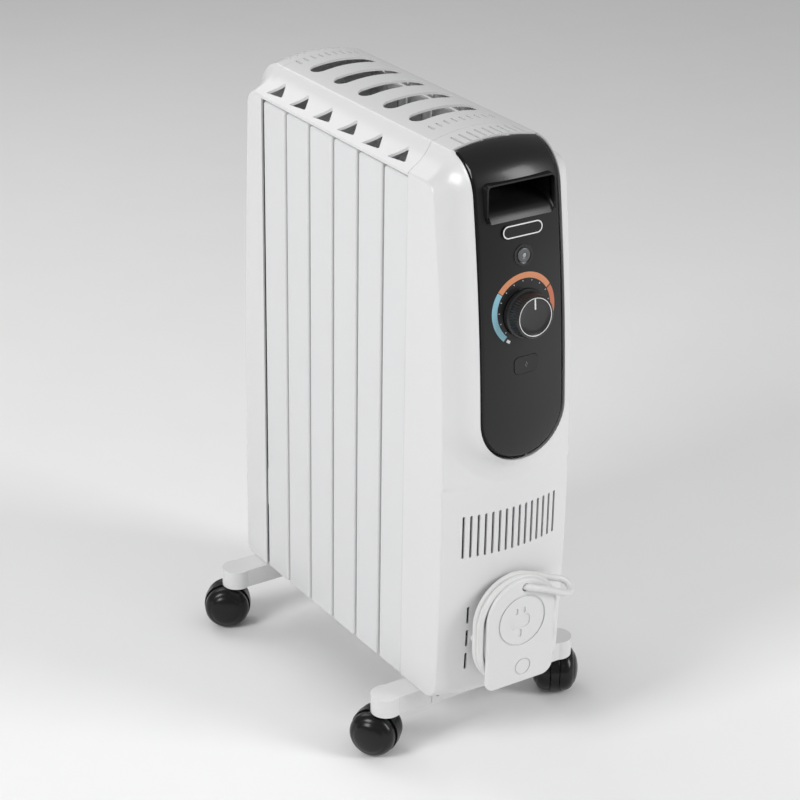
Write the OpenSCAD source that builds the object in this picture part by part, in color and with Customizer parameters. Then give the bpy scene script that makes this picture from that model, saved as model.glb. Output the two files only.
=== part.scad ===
// Oil filled radiator heater on four casters, in millimetres.
// +Z is up and the controls face -Y. The origin is on the floor, under the middle of the body.

/* [Body] */
// Height from the floor to the top of the arched grille
total_height = 640; // [530:5:780]
// Width of the fins and of both covers
body_width = 150; // [124:2:190]

/* [Fins] */
// Distance from one fin to the next
fin_pitch = 44.8; // [36:0.4:58]
// Open gap between the side walls of two fins
fin_gap = 3.6; // [3:0.2:6]
// Thickness of one pressed steel sheet
sheet = 1.2; // [0.8:0.1:2]
// Outer radius of the two oil headers
header_r = 22; // [20:1:26]
// Wall of the oil headers
header_wall = 4; // [3:0.5:5]
// Radius of the upright oil channels
channel_r = 8; // [5:1:11]

/* [Covers] */
// Depth of the front cover at its side edges
front_depth = 65.2; // [60:1:90]
// Depth of the rear cover at its side edges
rear_depth = 44; // [36:1:70]
// Wall of the moulded covers and of the grille
cover_wall = 2.4; // [2:0.2:4]
// Height of the raised spine above the side edges
spine_rise = 25.5; // [18:0.5:30]
// Half the width of the raised spine
spine_half = 50; // [46:1:60]
// Extra height of the arch at the middle of the grille
arch_rise = 7.5; // [3:0.5:10]

/* [Controls] */
// Distance from the top of the heater down to the knob
knob_drop = 157.6; // [150:1:190]
// Radius of the knob's skirt
knob_r = 23.5; // [18:0.5:29]
// Height of the knob above the panel
knob_height = 16.5; // [12:0.5:22]
// Radius of the knob's steel spindle
spindle_r = 3; // [2.4:0.1:4]
// Radius of the power button
power_r = 7; // [5:0.5:8]
// Width of the lower push button
mode_w = 27; // [18:1:30]
// Height of the lower push button
mode_h = 17; // [12:1:18]
// Half the width of the finger recess
recess_half = 37; // [30:1:38]

/* [Cord storage] */
// Half the width of the cord plate
plate_half = 40; // [38:1:46]
// Height of the plate's lower edge above the floor
plate_bottom = 89; // [86:1:110]
// Diameter of the mains cord
cord_d = 7; // [6:0.2:8]
// Radius of the plug's body
plug_r = 17.5; // [14:0.5:19]

/* [Feet] */
// Overall width of each foot bar
foot_length = 243; // [200:1:300]
// Width of each foot bar from front to back
foot_width = 31; // [26:1:36]
// Height of the foot bars
foot_height = 20.4; // [14:0.2:26]
// Radius of the caster wheels
wheel_r = 24; // [18:1:30]
// Sideways distance from a caster's swivel to its wheels
caster_trail = 10.4; // [6:0.2:14]
// Radius of the caster axles
axle_r = 3; // [2.5:0.1:4]
// Radius of the caster stems
stem_r = 4; // [3:0.1:5]

/* [Hidden] */
$fn = 48;
fin_count = 6;
fit = 0.05;
gap = 0.4;
eps = 0.01;
wheel_clearance = 0.6;
arm_z = 2 * wheel_r + wheel_clearance;
body_clearance = arm_z + foot_height;
half_w = body_width / 2;
shoulder_w = half_w - spine_half;
top_edge = total_height - spine_rise - arch_rise;
fin_top = top_edge - 5;
header_low = body_clearance + header_r + 24;
header_high = fin_top - header_r - 20;

// Curves of the covers: how the side edge bulges and how the faces are rounded across
front_lean = 26.535;
front_bulge_z = body_clearance + 201;
front_bulge_r = pow(top_edge - front_bulge_z, 2) / (2 * front_lean);
front_low_r = 3000;
front_plan_r = 200;
front_corner_r = 14;
front_foot_r = 18;
front_spine_z = top_edge - 225;
rear_lean = 14.58;
rear_bulge_z = body_clearance + 58;
rear_bulge_r = pow(top_edge - rear_bulge_z, 2) / (2 * rear_lean);
rear_plan_r = 470;
rear_corner_r = 16;
rear_foot_r = 10;
rear_spine_z = top_edge - 90;
panel_rise = 30.8;
panel_edge_rise = 26;
panel_bevel = 5.5;
panel_face_half = spine_half - panel_bevel;
panel_half = spine_half - 1.2;
panel_wall = 2.6;
panel_lip_r = 8;

// Places along the depth, worked out so that the whole heater is centred on the origin
knob_z = total_height - knob_drop;
knob_slope = asin((knob_z - front_bulge_z) / (front_bulge_r + panel_rise));
front_reach = front_depth + (front_bulge_r + panel_rise) * cos(knob_slope) - front_bulge_r
    + knob_height * cos(knob_slope) + knob_r * sin(knob_slope);
rear_reach = rear_depth + half_w * half_w / (2 * rear_plan_r);
total_depth = front_reach + fin_count * fin_pitch + rear_reach;
stack_front = front_reach - total_depth / 2;
stack_rear = stack_front + fin_count * fin_pitch;
seam_front = stack_front + fin_gap / 2 - gap;
seam_rear = stack_rear + fin_gap / 2;
front_edge = stack_front - front_depth;
rear_edge = stack_rear + rear_depth;
pattern_mid = (stack_front + stack_rear) / 2 + 10;

// Cord storage: the drum, the wound cord and the plate in front of it
plate_top = plate_bottom + 116;
drum_straight = 24.8;
wind_d = cord_d * 2 + 0.1;
wind_out = plate_half + 7.7;
wind_in = wind_out - wind_d;
drum_low = plate_bottom + 45.7;
drum_high = drum_low + drum_straight;
drum_r = wind_in - 0.3;
cover_at_drum = front_edge - half_w * half_w / (2 * front_plan_r);
wind_back = cover_at_drum - 1.8;
wind_front = wind_back - wind_d;
plate_back = wind_front - 0.3;
plate_t = 4;
plug_y = plate_back + plug_r + 2;
plug_base = drum_low - drum_r + 22;
plug_len = 33;
gland_x = -wind_in - cord_d / 2 - 0.6;
gland_z = drum_low + 4;
drum_drop = 8;
tail_z = drum_high - drum_drop / 2 + wind_in + cord_d;
tail_half = cord_d / 2 + 2;
screw_x = 26;
screw_z = drum_low + 6;

// The free stretch of the cord, from the plug's tail round the plate's edge and into the winding,
// told from the back of the winding and from the middle of the drum's upper end
CORD_SHAPE = [
    [0, 5.1, 21.5], [0, 5.1, 28.5], [0.5, 3.8, 34], [1.5, -1.7, 37], [2.5, -8.7, 37],
    [3.5, -15.2, 36.5], [8, -20.5, 36], [16, -22.2, 33.5], [28, -22.2, 28.5], [42, -22.2, 21.5],
    [53, -21.2, 17], [60, -16.2, 16], [62, -9.7, 19], [58, -5.2, 23], [48, -3.5, 27],
    [36, -3.5, 32], [22, -3.5, 38.3]
];
CORD = [for (p = CORD_SHAPE) p + [0, wind_back, drum_high]];

// Air slots and louvres
slot_pitch = 8.5;
slot_w = 3;
louvre_pitch = 7.64;
louvre_w = 2.8;
louvre_len = 46;
side_slot_pitch = 26.5;

// Feet and casters
front_foot_y = stack_front - 19.7;
rear_foot_y = stack_rear + 15;
swivel_x = foot_length / 2 - foot_width / 2;
foot_screw_x = 20;
hood_top = arm_z - 0.6;
head_z = 2.6;
head_h = 2.4;
head_r = 4;
foot_screw_r = 1.9;
foot_bore_r = 2.3;
CASTERS = [[-1, -1, 35], [1, -1, -35], [-1, 1, 56], [1, 1, -56]];

// ---- shared shapes ----

// How far a cover's face stands out from the line of its side edges, at x and at a distance
// outside the raised spine (negative on the spine itself)
function plan(x, r) = (half_w * half_w - x * x) / (2 * r);
function blend(t) = 0.38 * t + 0.62 * pow(t, 4);
function rise(x, out, r) =
    out <= 0
    ? spine_rise + arch_rise * (1 - pow((out + spine_half) / spine_half, 2))
    : plan(x, r) + (spine_rise - plan(x, r)) * blend(1 - min(out, shoulder_w) / shoulder_w);
function outside_spine(x, z, spine_z) = norm([x, min(z - spine_z, 0)]) - spine_half;

// Fractions of the shoulder and of the spine at which the faces have their columns
SHOULDER = [1, 0.85, 0.68, 0.5, 0.34, 0.2, 0.09, 0];
SPINE = [0.94, 0.8, 0.55, 0.28, 0];
function half_columns(w) = concat(
    [for (f = SHOULDER) (spine_half + shoulder_w * f) * w / half_w],
    [for (f = SPINE) spine_half * f * w / half_w]);
function columns(w) = let (h = half_columns(w), n = len(h))
    concat([for (x = h) -x], [for (i = [n - 2:-1:0]) h[i]]);

// The side edge of a cover as rows of [y, z, normal y, normal z, share of the spine], front facing -Y.
// c = [seam y, edge y, bulge z, bulge r, lower bulge r, top corner r, bottom corner r, spine fade],
// t = inset
function bulge_y(c, z, t) = let (r = (z > c[2] ? c[3] : c[4]))
    c[1] + r - sqrt(pow(r - t, 2) - pow(z - c[2], 2));
function top_centre(c) = let (z = top_edge - c[5])
    [c[1] + c[3] - sqrt(pow(c[3] - c[5], 2) - pow(z - c[2], 2)), z];
function foot_centre(c) = let (z = body_clearance + c[6])
    [c[1] + c[4] - sqrt(pow(c[4] - c[6], 2) - pow(z - c[2], 2)), z];
function top_angle(c) = asin((top_centre(c)[1] - c[2]) / (c[3] - c[5]));
function edge_rows(c, spine_z, t) = let (
        top = top_centre(c), foot = foot_centre(c), a = top_angle(c), z_hi = top[1] + (c[5] - t) * sin(a),
        z_mid = spine_z + 4, z_low = spine_z - spine_half - shoulder_w - 2)
    concat(
        [for (i = [0:2]) [c[0] + t + (top[0] - c[0] - t) * i / 3, top_edge - t, 0, 1, 1]],
        [for (i = [0:8]) let (b = 90 + (a - 90) * i / 8)
            [top[0] - (c[5] - t) * cos(b), top[1] + (c[5] - t) * sin(b), -cos(b), sin(b),
                1 - c[7] * i / 16]],
        [for (i = [1:8]) bulge_row(c, z_hi + (z_mid - z_hi) * i / 8, t, 1 - c[7] * (0.5 + i / 40))],
        [for (i = [1:12]) bulge_row(c, z_mid + (z_low - z_mid) * i / 12, t, 1 - c[7] * (0.7 + i / 40))],
        [for (i = [1:3]) bulge_row(c, z_low + (foot[1] - z_low) * i / 3, t, 0)],
        [for (i = [1:4]) let (b = -90 * i / 4)
            [foot[0] - (c[6] - t) * cos(b), foot[1] + (c[6] - t) * sin(b), -1, 0, 0]]);
function bulge_row(c, z, t, share = 1) = let (s = max(z - c[2], 0) / c[3])
    [bulge_y(c, z, t), z, -sqrt(1 - s * s), s, share];

// One closed block with a cover's outer shape, inset by t
module cover_block(c, spine_z, plan_r, t) {
    rows = edge_rows(c, spine_z, t);
    cols = columns(half_w - t);
    nr = len(rows);
    nc = len(cols);
    grid = [for (r = rows) for (x = cols) let (
            u = x * half_w / (half_w - t), flat = plan(u, plan_r),
            h = flat + (rise(u, outside_spine(u, r[1], spine_z), plan_r) - flat) * r[4])
        [x, r[0] + r[2] * h, r[1] + r[3] * h]];
    back = [for (x = cols) [x, c[0] + t, body_clearance + t]];
    skin = [for (i = [0:nr - 2]) for (j = [0:nc - 2]) for (tri = [0:1])
        tri == 0 ? [i * nc + j, i * nc + j + 1, (i + 1) * nc + j + 1]
            : [i * nc + j, (i + 1) * nc + j + 1, (i + 1) * nc + j]];
    under = [for (j = [0:nc - 2]) for (tri = [0:1])
        tri == 0 ? [(nr - 1) * nc + j, (nr - 1) * nc + j + 1, nr * nc + j + 1]
            : [(nr - 1) * nc + j, nr * nc + j + 1, nr * nc + j]];
    left = [for (i = [0:nr]) i * nc];
    right = [for (i = [nr:-1:0]) i * nc + nc - 1];
    rear = concat([for (j = [nc - 1:-1:0]) j], [for (j = [0:nc - 1]) nr * nc + j]);
    polyhedron(concat(grid, back), concat(skin, under, [left, right, rear]), convexity = 8);
}

module rounded_slot(width, length, depth, along_x = false) {
    r = width / 2;
    turn = along_x ? 90 : 0;
    rotate([0, 0, turn]) hull() for (s = [-1, 1]) translate([0, s * (length / 2 - r), -depth / 2])
        cylinder(r = r, h = depth, $fn = 12);
}

// Flat racetrack shape of the drum, standing in the XZ plane and grown along -Y from y0
module racetrack(r, y0, depth, drop = 0) {
    translate([0, y0, 0]) rotate([90, 0, 0]) linear_extrude(depth) union() {
        translate([0, drum_low]) circle(r, $fn = 64);
        translate([0, drum_high - drop]) circle(r, $fn = 64);
        translate([-r, drum_low]) square([2 * r, drum_straight - drop]);
    }
}

// Stands things on the crowned panel at height z, with their own +Z along the panel's normal
module on_panel(z) {
    s = (z - front_bulge_z) / (front_bulge_r + panel_rise);
    y = front_edge + front_bulge_r - (front_bulge_r + panel_rise) * sqrt(1 - s * s);
    translate([0, y, z]) rotate([90 - asin(s), 0, 0]) children();
}

// ---- fins and oil circuit ----

module fin(i) {
    y = stack_front + (fin_count - i + 0.5) * fin_pitch;
    half = (fin_pitch - fin_gap) / 2;
    lip = 5;
    color("whitesmoke") translate([0, y, 0]) difference() {
        union() {
            for (s = [-1, 1]) {
                translate([s > 0 ? half_w - sheet : -half_w, -half, body_clearance])
                    cube([sheet, 2 * half, fin_top - body_clearance]);
                for (e = [-1, 1]) translate([s > 0 ? half_w - lip : -half_w, e > 0 ? half - sheet : -half,
                    body_clearance]) cube([lip, sheet, fin_top - body_clearance]);
                translate([s * (half_w - channel_r - 24), 0, header_low])
                    cylinder(r = channel_r, h = header_high - header_low);
            }
            translate([-half_w + eps, -sheet, body_clearance + 20])
                cube([body_width - 2 * eps, 2 * sheet, fin_top - body_clearance - 34]);
            for (z = [header_low, header_high]) translate([0, fin_pitch / 2, z]) rotate([90, 0, 0])
                cylinder(r = header_r, h = fin_pitch);
        }
        for (z = [header_low, header_high]) translate([0, fin_pitch / 2 + 1, z]) rotate([90, 0, 0])
            cylinder(r = header_r - header_wall, h = fin_pitch + 2);
    }
}

module header_plugs() {
    color("silver") {
        for (z = [header_low, header_high]) translate([0, stack_rear + sheet, z]) rotate([90, 0, 0])
            cylinder(r = header_r - header_wall - fit, h = 5);
        translate([0, stack_front + 5 - sheet, header_high]) rotate([90, 0, 0])
            cylinder(r = header_r - header_wall - fit, h = 5);
    }
}

module heating_element() {
    rod_r = 4;
    spread = 8;
    length = fin_count * fin_pitch - 40;
    color("dimgray") translate([0, stack_front, header_low]) rotate([-90, 0, 0]) {
        translate([0, 0, -11]) cylinder(r = 16, h = 8, $fn = 6);
        translate([0, 0, -3 - eps]) cylinder(r = header_r - header_wall - 2, h = 10);
        for (s = [-1, 1]) translate([s * spread, 0, -24]) cylinder(r = rod_r, h = length + 24);
        translate([0, 0, length]) rotate([90, 0, 0]) rotate_extrude(angle = 180)
            translate([spread, 0]) circle(rod_r);
    }
}

module element_gasket() {
    color("black") translate([0, stack_front - 3, header_low]) rotate([-90, 0, 0]) difference() {
        cylinder(r = header_r, h = 3);
        translate([0, 0, -1]) cylinder(r = header_r - header_wall - 2 + fit, h = 5);
    }
}

// ---- covers and grille ----

FRONT = [seam_front, front_edge, front_bulge_z, front_bulge_r, front_low_r, front_corner_r,
    front_foot_r, 0];
REAR = [-seam_rear, -rear_edge, rear_bulge_z, rear_bulge_r, rear_bulge_r, rear_corner_r,
    rear_foot_r, 1];

// Outline of the opening that the control panel fills, seen from the front and from above
module panel_opening(grow) {
    w = panel_half + grow;
    mouth = top_edge + spine_rise / 2;
    reach = -seam_front + front_depth + 60;
    translate([0, seam_front - 30, 0]) rotate([90, 0, 0]) linear_extrude(reach) union() {
        translate([0, front_spine_z]) circle(w, $fn = 64);
        translate([-w, front_spine_z]) square([2 * w, mouth - front_spine_z]);
    }
    translate([0, panel_lip_y + grow - 60, mouth - 20]) linear_extrude(60) hull()
        for (s = [-1, 1], e = [-1, 1]) translate([s * (w - panel_lip_r), e * (60 - panel_lip_r)])
            circle(panel_lip_r, $fn = 24);
}
panel_lip_y = front_edge + 34;

module front_cover() {
    color("white") difference() {
        cover_block(FRONT, front_spine_z, front_plan_r, 0);
        cover_block(FRONT, front_spine_z, front_plan_r, cover_wall);
        panel_opening(0.3);
        for (i = [-4:4]) translate([i * slot_pitch, panel_lip_y + 13.5, total_height])
            rounded_slot(slot_w, 21, 40);
        for (i = [-7:7]) translate([i * louvre_pitch, front_edge - 10, body_clearance + 185])
            rotate([90, 0, 0]) rounded_slot(louvre_w, louvre_len, 40);
        for (s = [-1, 1], i = [0:2])
            translate([s * 45.5, front_edge - 8, body_clearance + 44 + i * side_slot_pitch])
                rotate([90, 0, 0]) rounded_slot(slot_w, 19, 24);
        translate([-plug_r - 4.3, cover_at_drum - 6, drum_low - drum_r + 2.7])
            cube([2 * plug_r + 8.6, 20, 66.6]);
        for (s = [-1, 1]) translate([s * foot_screw_x, front_foot_y, body_clearance - 1])
            cylinder(r = foot_bore_r, h = 6);
        translate([-tail_half - 2.3, cover_at_drum - 6, drum_high])
            cube([2 * tail_half + 4.6, 20, tail_z - drum_high + 6.5]);
        translate([gland_x, wind_back + 20, gland_z]) rotate([90, 0, 0]) cylinder(r = 4.3, h = 20);
    }
}

module rear_cover() {
    color("white") difference() {
        mirror([0, 1, 0]) cover_block(REAR, rear_spine_z, rear_plan_r, 0);
        mirror([0, 1, 0]) cover_block(REAR, rear_spine_z, rear_plan_r, cover_wall);
        for (i = [-4:4]) translate([i * slot_pitch, seam_rear + 18, total_height])
            rounded_slot(slot_w, 18, 40);
        for (i = [-7:7]) translate([i * louvre_pitch, rear_edge, body_clearance + 70]) rotate([90, 0, 0])
            rounded_slot(louvre_w, louvre_len, 40);
        for (s = [-1, 1]) translate([s * foot_screw_x, rear_foot_y, body_clearance - 1])
            cylinder(r = foot_bore_r, h = 6);
    }
}

function section(w, t) = [for (x = columns(w)) let (u = x * half_w / w)
    [x, top_edge - t + rise(u, abs(u) - spine_half, front_plan_r)]];

module top_grille() {
    length = seam_rear - gap - stack_front - fin_gap / 2;
    start = stack_front + fin_gap / 2;
    color("white") {
        difference() {
            translate([0, start + length, 0]) rotate([90, 0, 0]) linear_extrude(length)
                polygon(concat(section(half_w, 0), [[half_w, top_edge - 3], [-half_w, top_edge - 3]]));
            translate([0, start + length + 1, 0]) rotate([90, 0, 0]) linear_extrude(length + 2)
                polygon(concat(section(half_w - cover_wall, cover_wall),
                    [[half_w - cover_wall, top_edge - 5], [cover_wall - half_w, top_edge - 5]]));
            for (i = [-2:2]) translate([0, pattern_mid + i * fin_pitch, total_height])
                rounded_slot(20, 2 * spine_half - 24, 40, true);
            for (i = [-4:4], e = [-1, 1])
                translate([i * slot_pitch, pattern_mid + e * (length / 2 - 14.5), total_height])
                    rounded_slot(slot_w, 12, 40);
            for (i = [0:fin_count - 1], s = [-1, 1]) translate([0, stack_front + i * fin_pitch, 0])
                shoulder_hole(s);
        }
        for (i = [1:2:fin_count - 1], s = [-1, 1])
            translate([s * (half_w - 9) - 3, stack_front + i * fin_pitch - 1.3, fin_top - 12])
                cube([6, 2.6, 21]);
    }
}

// Rounded triangular air hole on the sloping shoulder
module shoulder_hole(s) {
    low = half_w - 4.5;
    high = spine_half + 7;
    translate([0, 0, top_edge - 4]) linear_extrude(40) hull() {
        translate([s * low, 24.5]) circle(1.5, $fn = 12);
        translate([s * (low - 0.5), 42]) circle(1.5, $fn = 12);
        translate([s * high, 19]) circle(2, $fn = 12);
    }
}

// ---- control panel ----

// Rows of the panel: [y, z, normal y, normal z, half width factor]
function panel_corner(top, b, share) =
    [top[0] - front_corner_r * cos(b), top[1] + front_corner_r * sin(b), -cos(b), sin(b), share];
function panel_rows(w) = let (
        top = top_centre(FRONT), a = top_angle(FRONT), z_hi = top[1] + front_corner_r * sin(a),
        lip = top[0] - panel_lip_y, swing = front_corner_r + panel_rise,
        b_full = acos((lip + panel_lip_r) / swing))
    concat(
        [for (d = [0, 0.1, 0.3, 0.6]) let (
                b = acos((lip + d * panel_lip_r) / swing),
                short = panel_lip_r * (1 - sqrt(1 - pow(1 - d, 2))))
            panel_corner(top, b, (panel_half - short) / panel_half)],
        [for (i = [0:6]) panel_corner(top, b_full + (a - b_full) * i / 6, 1)],
        [for (i = [1:7]) bulge_row(FRONT, z_hi + (front_spine_z - z_hi) * i / 7, 0)],
        [for (i = [1:9]) let (b = 9.6 * i)
            bulge_row(FRONT, front_spine_z - w * sin(b), 0, cos(b))]);
// Columns of the panel: [share of the half width, height above the side edge line]
function panel_face(u) = panel_edge_rise + (panel_rise - panel_edge_rise) * (1 - u * u);
function panel_height(u) = u == 1 ? panel_edge_rise - panel_bevel : panel_face(u / PANEL_EDGE);
PANEL_EDGE = panel_face_half / panel_half;
PANEL_U = [1, PANEL_EDGE, 0.75, 0.5, 0.25];
function panel_columns() = concat(
    [for (u = PANEL_U) [-u, panel_height(u)]],
    [[0, panel_rise]],
    [for (i = [4:-1:0]) [PANEL_U[i], panel_height(PANEL_U[i])]]);

// A skin over the panel's face, from rise offset lo to rise offset hi
module panel_skin(lo, hi) {
    rows = panel_rows(panel_half);
    cols = panel_columns();
    nr = len(rows);
    nc = len(cols);
    pts = [for (h = [hi, lo]) for (r = rows) for (c = cols)
        let (low_fall = (1 - r[4]) * (1 - r[4]) * 2, up = c[1] + h - (abs(c[0]) < 1 ? low_fall : 0))
        [c[0] * panel_half * r[4], r[0] + r[2] * up, r[1] + r[3] * up]];
    n = nr * nc;
    face = [for (i = [0:nr - 2]) for (j = [0:nc - 2]) for (tri = [0:1])
        tri == 0 ? [i * nc + j, i * nc + j + 1, (i + 1) * nc + j + 1]
            : [i * nc + j, (i + 1) * nc + j + 1, (i + 1) * nc + j]];
    rim = concat([for (j = [0:nc - 1]) j], [for (i = [1:nr - 1]) i * nc + nc - 1],
        [for (j = [nc - 2:-1:0]) (nr - 1) * nc + j], [for (i = [nr - 2:-1:1]) i * nc]);
    polyhedron(pts, concat(face, [for (f = face) [f[2] + n, f[1] + n, f[0] + n]],
        [for (k = [0:len(rim) - 1]) for (tri = [0:1]) let (a = rim[k], b = rim[(k + 1) % len(rim)])
            tri == 0 ? [a, a + n, b + n] : [a, b + n, b]]), convexity = 6);
}

well_r = knob_r + 0.9;
well_depth = 3;
ring_r = 35.8;
power_z = knob_z + 55.6;
mode_z = knob_z - 50.4;
badge_z = knob_z + 79.6;
recess_top = top_edge + 1;
recess_bottom = badge_z + 10;
recess_back = front_edge + 34;
pocket_wall = 2;

module control_panel() {
    color([0.06, 0.06, 0.065]) difference() {
        union() {
            panel_skin(-panel_wall, 0);
            on_panel(knob_z) translate([0, 0, -well_depth - 2.5]) cylinder(r = well_r + 2, h = 3.4);
        }
        on_panel(knob_z) translate([0, 0, -well_depth]) cylinder(r = well_r, h = 12);
        on_panel(knob_z) translate([0, 0, -12]) cylinder(r = 4.5 + fit, h = 20);
        on_panel(power_z) translate([0, 0, -12]) cylinder(r = power_r + 3, h = 20);
        on_panel(mode_z) mode_outline(0.3, -12, 20);
        translate([-recess_half, seam_front - 130, recess_bottom])
            cube([2 * recess_half, 110, recess_top - recess_bottom]);
        on_panel(badge_z) badge_outline(-1, 8, 0.1);
    }
}

module mode_outline(grow, z0, h) {
    r = 5;
    translate([0, 0, z0]) linear_extrude(h) union() {
        square([mode_w + 2 * grow, mode_h - 2 * r], center = true);
        square([mode_w - 2 * r, mode_h + 2 * grow], center = true);
        for (s = [-1, 1], e = [-1, 1]) translate([s * (mode_w / 2 - r), e * (mode_h / 2 - r)])
            circle(r + grow);
    }
}

module badge_outline(z0, h, grow) {
    r = 6.6;
    half = 22.7;
    translate([0, 0, z0]) linear_extrude(h) union() {
        for (s = [-1, 1]) translate([s * (half - r), 0]) circle(r + grow);
        square([2 * (half - r), 2 * (r + grow)], center = true);
    }
}

// Depth at which the back of the panel's edge lies, at height z
function panel_back(z) = let (up = panel_edge_rise - panel_wall - 0.5, top = top_centre(FRONT))
    z < top[1]
    ? bulge_y(FRONT, z, 0) - up
    : top[0] - sqrt(pow(front_corner_r + up, 2) - pow(z - top[1], 2));

// Finger recess behind the panel: a black cup with a floor that curves up to the panel
module handle_pocket() {
    w = recess_half + pocket_wall;
    front = front_edge - panel_edge_rise;
    low = recess_bottom - pocket_wall;
    high = recess_top + pocket_wall;
    color([0.03, 0.03, 0.03]) difference() {
        translate([-w, 0, 0]) rotate([90, 0, 90]) linear_extrude(2 * w) polygon(concat(
            [for (i = [0:8]) let (z = low + (high - low) * i / 8) [panel_back(z), z]],
            [[recess_back + pocket_wall, high], [recess_back + pocket_wall, low]]));
        translate([-recess_half, front - 1, recess_bottom + 14])
            cube([2 * recess_half, recess_back - front + 1, recess_top - recess_bottom - 14]);
        translate([-recess_half, front - 1, recess_bottom])
            cube([2 * recess_half, recess_back - front - 13, 15]);
        translate([-recess_half, recess_back - 14, recess_bottom + 14]) rotate([0, 90, 0])
            cylinder(r = 14, h = 2 * recess_half);
    }
}

module badge_plate() {
    color("gainsboro") on_panel(badge_z) badge_outline(-1, 1.6, 0);
}

module dial_ring() {
    color("darksalmon") intersection() {
        panel_skin(0, 0.4);
        on_panel(knob_z) translate([0, 0, -8]) difference() {
            cylinder(r = ring_r, h = 16);
            translate([0, 0, -1]) cylinder(r = well_r, h = 18);
        }
    }
}

module thermostat_knob() {
    face_r = knob_r - 3;
    color([0.09, 0.09, 0.095]) on_panel(knob_z) difference() {
        rotate_extrude($fn = 96) polygon([
            [spindle_r, 0], [6, 0], [6, knob_height - 7], [knob_r - 5, knob_height - 9],
            [knob_r - 3, -1.5], [knob_r, -1.5], [knob_r, 4], [face_r, knob_height - 1.5],
            [face_r - 1.2, knob_height],
            [0, knob_height], [0, 12], [spindle_r, 12]]);
        for (i = [0:39]) rotate(i * 9) translate([knob_r + 0.3, 0, -2]) rotate([0, -9, 0])
            cylinder(r = 0.7, h = 18, $fn = 16);
    }
}

// White ring and pointer let into the knob's face
module knob_marking() {
    color("white") on_panel(knob_z) translate([0, 0, knob_height]) {
        difference() {
            cylinder(r = knob_r - 4.3, h = 0.3);
            translate([0, 0, -1]) cylinder(r = knob_r - 5.3, h = 2);
        }
        translate([-0.6, 8, 0]) cube([1.2, knob_r - 5.3 - 8 - 0.3, 0.3]);
    }
}

module knob_spindle() {
    color("silver") on_panel(knob_z) translate([0, 0, -16]) cylinder(r = spindle_r, h = 28);
}

module thermostat_body() {
    color("steelblue") on_panel(knob_z) difference() {
        union() {
            translate([-12, -12, -18.5]) cube([24, 24, 11]);
            translate([0, 0, -8]) cylinder(r = 4.5, h = 7);
        }
        translate([0, 0, -16.2]) cylinder(r = spindle_r + fit, h = 20);
    }
}

module spindle_nut() {
    color("goldenrod") on_panel(knob_z) translate([0, 0, -well_depth]) difference() {
        cylinder(r = 7.4, h = 1.8, $fn = 6);
        translate([0, 0, -1]) cylinder(r = 4.5, h = 4);
    }
}

module power_button() {
    color("silver") on_panel(power_z) difference() {
        union() {
            translate([0, 0, -9]) cylinder(r = power_r - 0.1, h = 10.5);
            translate([0, 0, -9]) cylinder(r = power_r + 1.2, h = 1.6);
        }
        translate([0, 0, 0.6]) cylinder(r = 2.1, h = 2);
        translate([0, 0, -10]) cylinder(r = 4, h = 7);
    }
}

module pilot_lens() {
    color("honeydew") on_panel(power_z) translate([0, 0, 0.6]) cylinder(r = 2, h = 1.1);
}

module power_bezel() {
    color([0.12, 0.12, 0.12]) on_panel(power_z) difference() {
        union() {
            translate([0, 0, -6]) cylinder(r = power_r + 2.9, h = 6.5);
            translate([0, 0, 0.05]) cylinder(r = power_r + 3.6, h = 0.8);
        }
        translate([0, 0, -7]) cylinder(r = power_r, h = 12);
    }
}

module mode_button() {
    color([0.1, 0.1, 0.1]) on_panel(mode_z) difference() {
        union() {
            mode_outline(0, -6, 5.9);
            mode_outline(1.2, -6.2, 1.4);
        }
        translate([0, 0, -7]) cylinder(r = 4, h = 4);
    }
}

// Return springs in the backs of the two buttons, drawn at their pressed length
module button_springs() {
    color("silver") {
        on_panel(power_z) translate([0, 0, -14]) spring_sleeve(8.7);
        on_panel(mode_z) translate([0, 0, -12]) spring_sleeve(6.7);
    }
}

module spring_sleeve(h) {
    difference() {
        cylinder(r = 3.6, h = h);
        translate([0, 0, -1]) cylinder(r = 2.8, h = h + 2);
    }
}

module control_board() {
    color("darkgreen") on_panel(knob_z) {
        translate([-34, -64, -20.2]) cube([68, 136, 1.6]);
        translate([-30, -40, -38]) cube([20, 16, 17.8]);
        translate([12, -38, -34]) cube([16, 12, 13.8]);
        for (s = [-1, 1]) translate([s * 12, 30, -28]) cylinder(r = 6, h = 7.8);
        translate([-5, 53.6, -18.6]) cube([10, 4, 3.4]);
        translate([-4, -52.4, -18.6]) cube([8, 4, 5.4]);
    }
}

module room_sensor() {
    color("tan") translate([30, front_edge + 8, body_clearance + 178]) {
        sphere(r = 3);
        cylinder(r = 0.8, h = 26);
    }
}

// ---- cord storage ----

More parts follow.
